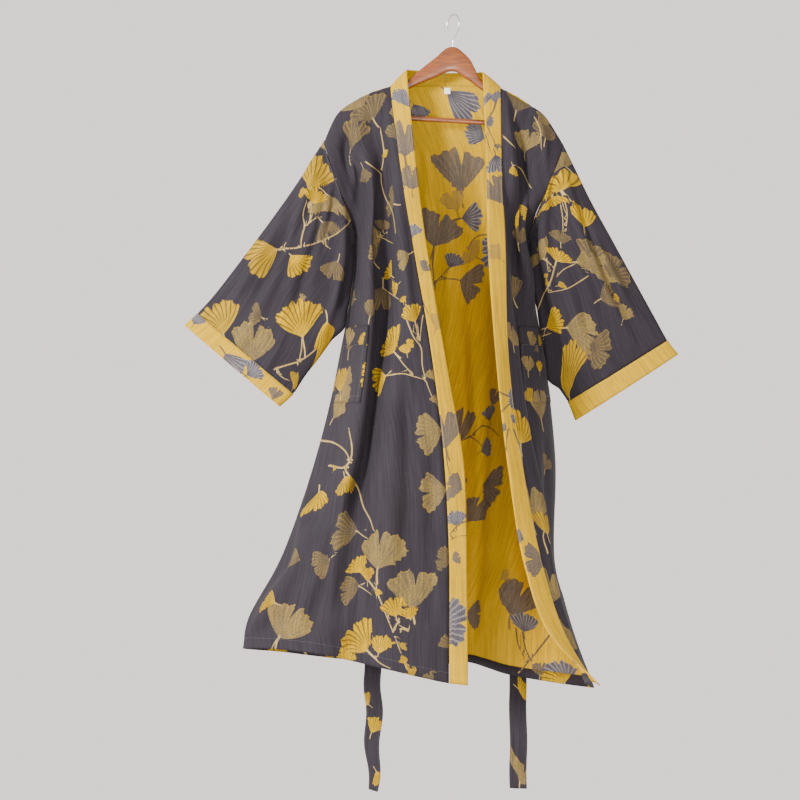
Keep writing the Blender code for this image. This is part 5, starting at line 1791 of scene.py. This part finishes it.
# Sleeves and their cuff bands
for side, column in (("left", 0), ("right", -1)):
    rails = LEFT_FRONT if side == "left" else RIGHT_FRONT
    tube = sleeve_tube(side, rail_points(rails[-1], -1), rail_points(BACK[column], 1))
    close_underarm(tube, fronts[side][:, -1], 1 if side == "left" else -1)
    way = outward(tube, closed=True)
    across, down = flat_lengths(tube, True)
    count = tube.shape[1]
    around = np.arange(count) / count
    front_layer = np.repeat((np.sin(2 * np.pi * around) > -1e-6)[None], len(tube), axis=0)
    layer = smooth(*LAYER_EDGE, np.sin(2 * np.pi * around))[None]
    hidden = smooth(*LAYER_EDGE, -np.sin(2 * np.pi * around))[None]
    across, down = across[:, :count], down[:, :count]
    ends = smooth(0, SLEEVE_FOLD_TOP, down) * smooth(*SLEEVE_FOLD_FOOT, down[-1:] - down)
    crease(tube, way, FOLDS[f"sleeve_{side}"], layer * ends * FOLD_MORE)
    crease(tube, way, FOLDS[f"sleeve_{side}"][::2], hidden * ends)
    ripple(tube, way, across, down, *RIPPLES["sleeve"], (layer + hidden) * ends)
    split = -FINE
    body, cuff = tube[: split], tube[split - 1 :].copy()
    body_way, cuff_way = way[: split], way[split - 1 :]
    dip = CUFF_DIP * np.exp(-((down[split - 1] - down[: split]) / CUFF_DIP_WIDTH) ** 2)
    body = body - body_way * dip[..., None]
    cuff[0] += unit(cuff[1] - cuff[0]) * CUFF_GAP
    more, lines = sprays(SLEEVE_SPRAYS[side])
    shown = (LEAVES[f"sleeve_{side}"], TWIGS[f"sleeve_{side}"], front_layer[: split])
    piece = cloth(f"sleeve_{side}_cloth", body, body_way, (charcoal, yellow), closed=True)
    weave(piece, body, shown, (more, lines, ~front_layer[: split]), closed=True)
    settle(piece, "charcoal_cloth", f"sleeve_{side}")
    band = cloth(f"cuff_{side}_cloth", cuff, cuff_way, (yellow,), closed=True, wall=BAND_WALL)
    shown = (CUFF_LEAVES[side], CUFF_TWIGS[side], front_layer[split - 1 :])
    behind = (CUFF_BACK_LEAVES[side], (), ~front_layer[split - 1 :])
    weave(band, cuff, shown, behind, closed=True)
    settle(band, "yellow_cloth", f"cuff_{side}")
    cuff_seams = sewn(
        f"cuff_{side}_stitches", [round_row(cuff, cuff_way, row) for row in (0, -2)],
        gold_thread, "yellow_cloth", BAND_WALL / 2,
    )
    arm_seams = sewn(
        f"sleeve_{side}_stitches", [round_row(body, body_way, 1)], dark_thread, "charcoal_cloth"
    )
    sheets[f"sleeve_{side}_cloth"] = (piece, arm_seams)
    sheets[f"cuff_{side}_cloth"] = (band, cuff_seams)

# Belt, its loops and the label
strip = belt_grid(back)
way = outward(strip, face=1)
piece = cloth("belt_cloth", strip, way, (charcoal,), wall=BELT_WALL)
more, lines = sprays(BELT_SPRAYS)
weave(piece, strip, (list(BELT_LEAVES) + more, lines, None))
settle(piece, "charcoal_cloth", "belt")
across, _ = flat_lengths(strip)
rows = []
for facing in (way, -way):
    rows.append(inset_column(strip, facing, across, BELT_SEAM_INSET))
    rows.append(inset_column(strip, facing, across, BELT_SEAM_INSET, last=True))
seams = sewn("belt_stitches", rows, dark_thread, "charcoal_cloth", BELT_WALL / 2)
sheets["belt_cloth"] = (piece, seams)
for side in ("left", "right"):
    grid = loop_grid(side, back, strip)
    piece = cloth(f"loop_{side}_cloth", grid, outward(grid, face=1), (charcoal,), wall=LOOP_WALL)
    weave(piece, grid, ((), (), None))
    settle(piece, "charcoal_cloth", f"belt_loop_{side}")
    sheets[f"loop_{side}_cloth"] = (piece,)
grid = label_grid(back)
way = outward(grid)
piece = cloth("label_tape", grid, way, (tape,), wall=TAPE_WALL)
settle(piece, "label_cloth", "label")
across, down = flat_lengths(grid)
seams = stitches("label_stitches", [(grid[0] + way[0] * 0.05, way[0])], gold_thread, TAPE_WALL / 2)
settle(seams, "label_cloth")
sheets["label_tape"] = (piece, seams)

# Hanger
settle(hanger_body(tops, varnish), "varnished_wood", "hanger_body")
ends = [(x, 0.0, z) for x, z in (BAR_LEFT, BAR_RIGHT)]
settle(turned_rod("hanger_bar_wood", *ends, BAR_RADIUS, varnish), "varnished_wood", "hanger_bar")
settle(hook(wire), "hook_wire", "hanger_hook")

# Each sheet's row of CUTS is read with its pieces, and nothing more is done with them
for name, (width, length, held, rests, area) in CUTS.items():
    piece, *with_pieces = sheets[name]

# Floor, light and camera
shape = bmesh.new()
bmesh.ops.create_circle(shape, cap_ends=True, segments=96, radius=FLOOR_RADIUS)
floor = finish("floor", shape, floor_look())
floor.location.z = FLOOR_HEIGHT
robe.objects.unlink(floor)
bpy.context.scene.collection.objects.link(floor)

world = bpy.data.worlds.new("studio")
bpy.context.scene.world = world
world.use_nodes = True
world.node_tree.nodes["Background"].inputs[0].default_value = STUDIO_COLOUR
world.node_tree.nodes["Background"].inputs[1].default_value = STUDIO_LIGHT

for name, place, aim, size, power, colour in LIGHTS:
    lamp = bpy.data.lights.new(name, "AREA")
    lamp.shape = "RECTANGLE"
    lamp.size, lamp.size_y = size
    lamp.energy = power
    lamp.color = colour
    holder = bpy.data.objects.new(name, lamp)
    bpy.context.scene.collection.objects.link(holder)
    holder.location = place
    direction = np.array(aim) - place
    yaw = math.atan2(direction[0], direction[1])
    pitch = math.atan2(direction[2], math.hypot(direction[0], direction[1]))
    holder.rotation_euler = (math.pi / 2 + pitch, 0, -yaw)

lens = bpy.data.cameras.new("camera")
lens.lens = LENS
lens.sensor_width = SENSOR
camera = bpy.data.objects.new("camera", lens)
bpy.context.scene.collection.objects.link(camera)
camera.location = CAMERA_PLACE
camera.rotation_euler = (math.pi / 2, 0, 0)
bpy.context.scene.camera = camera
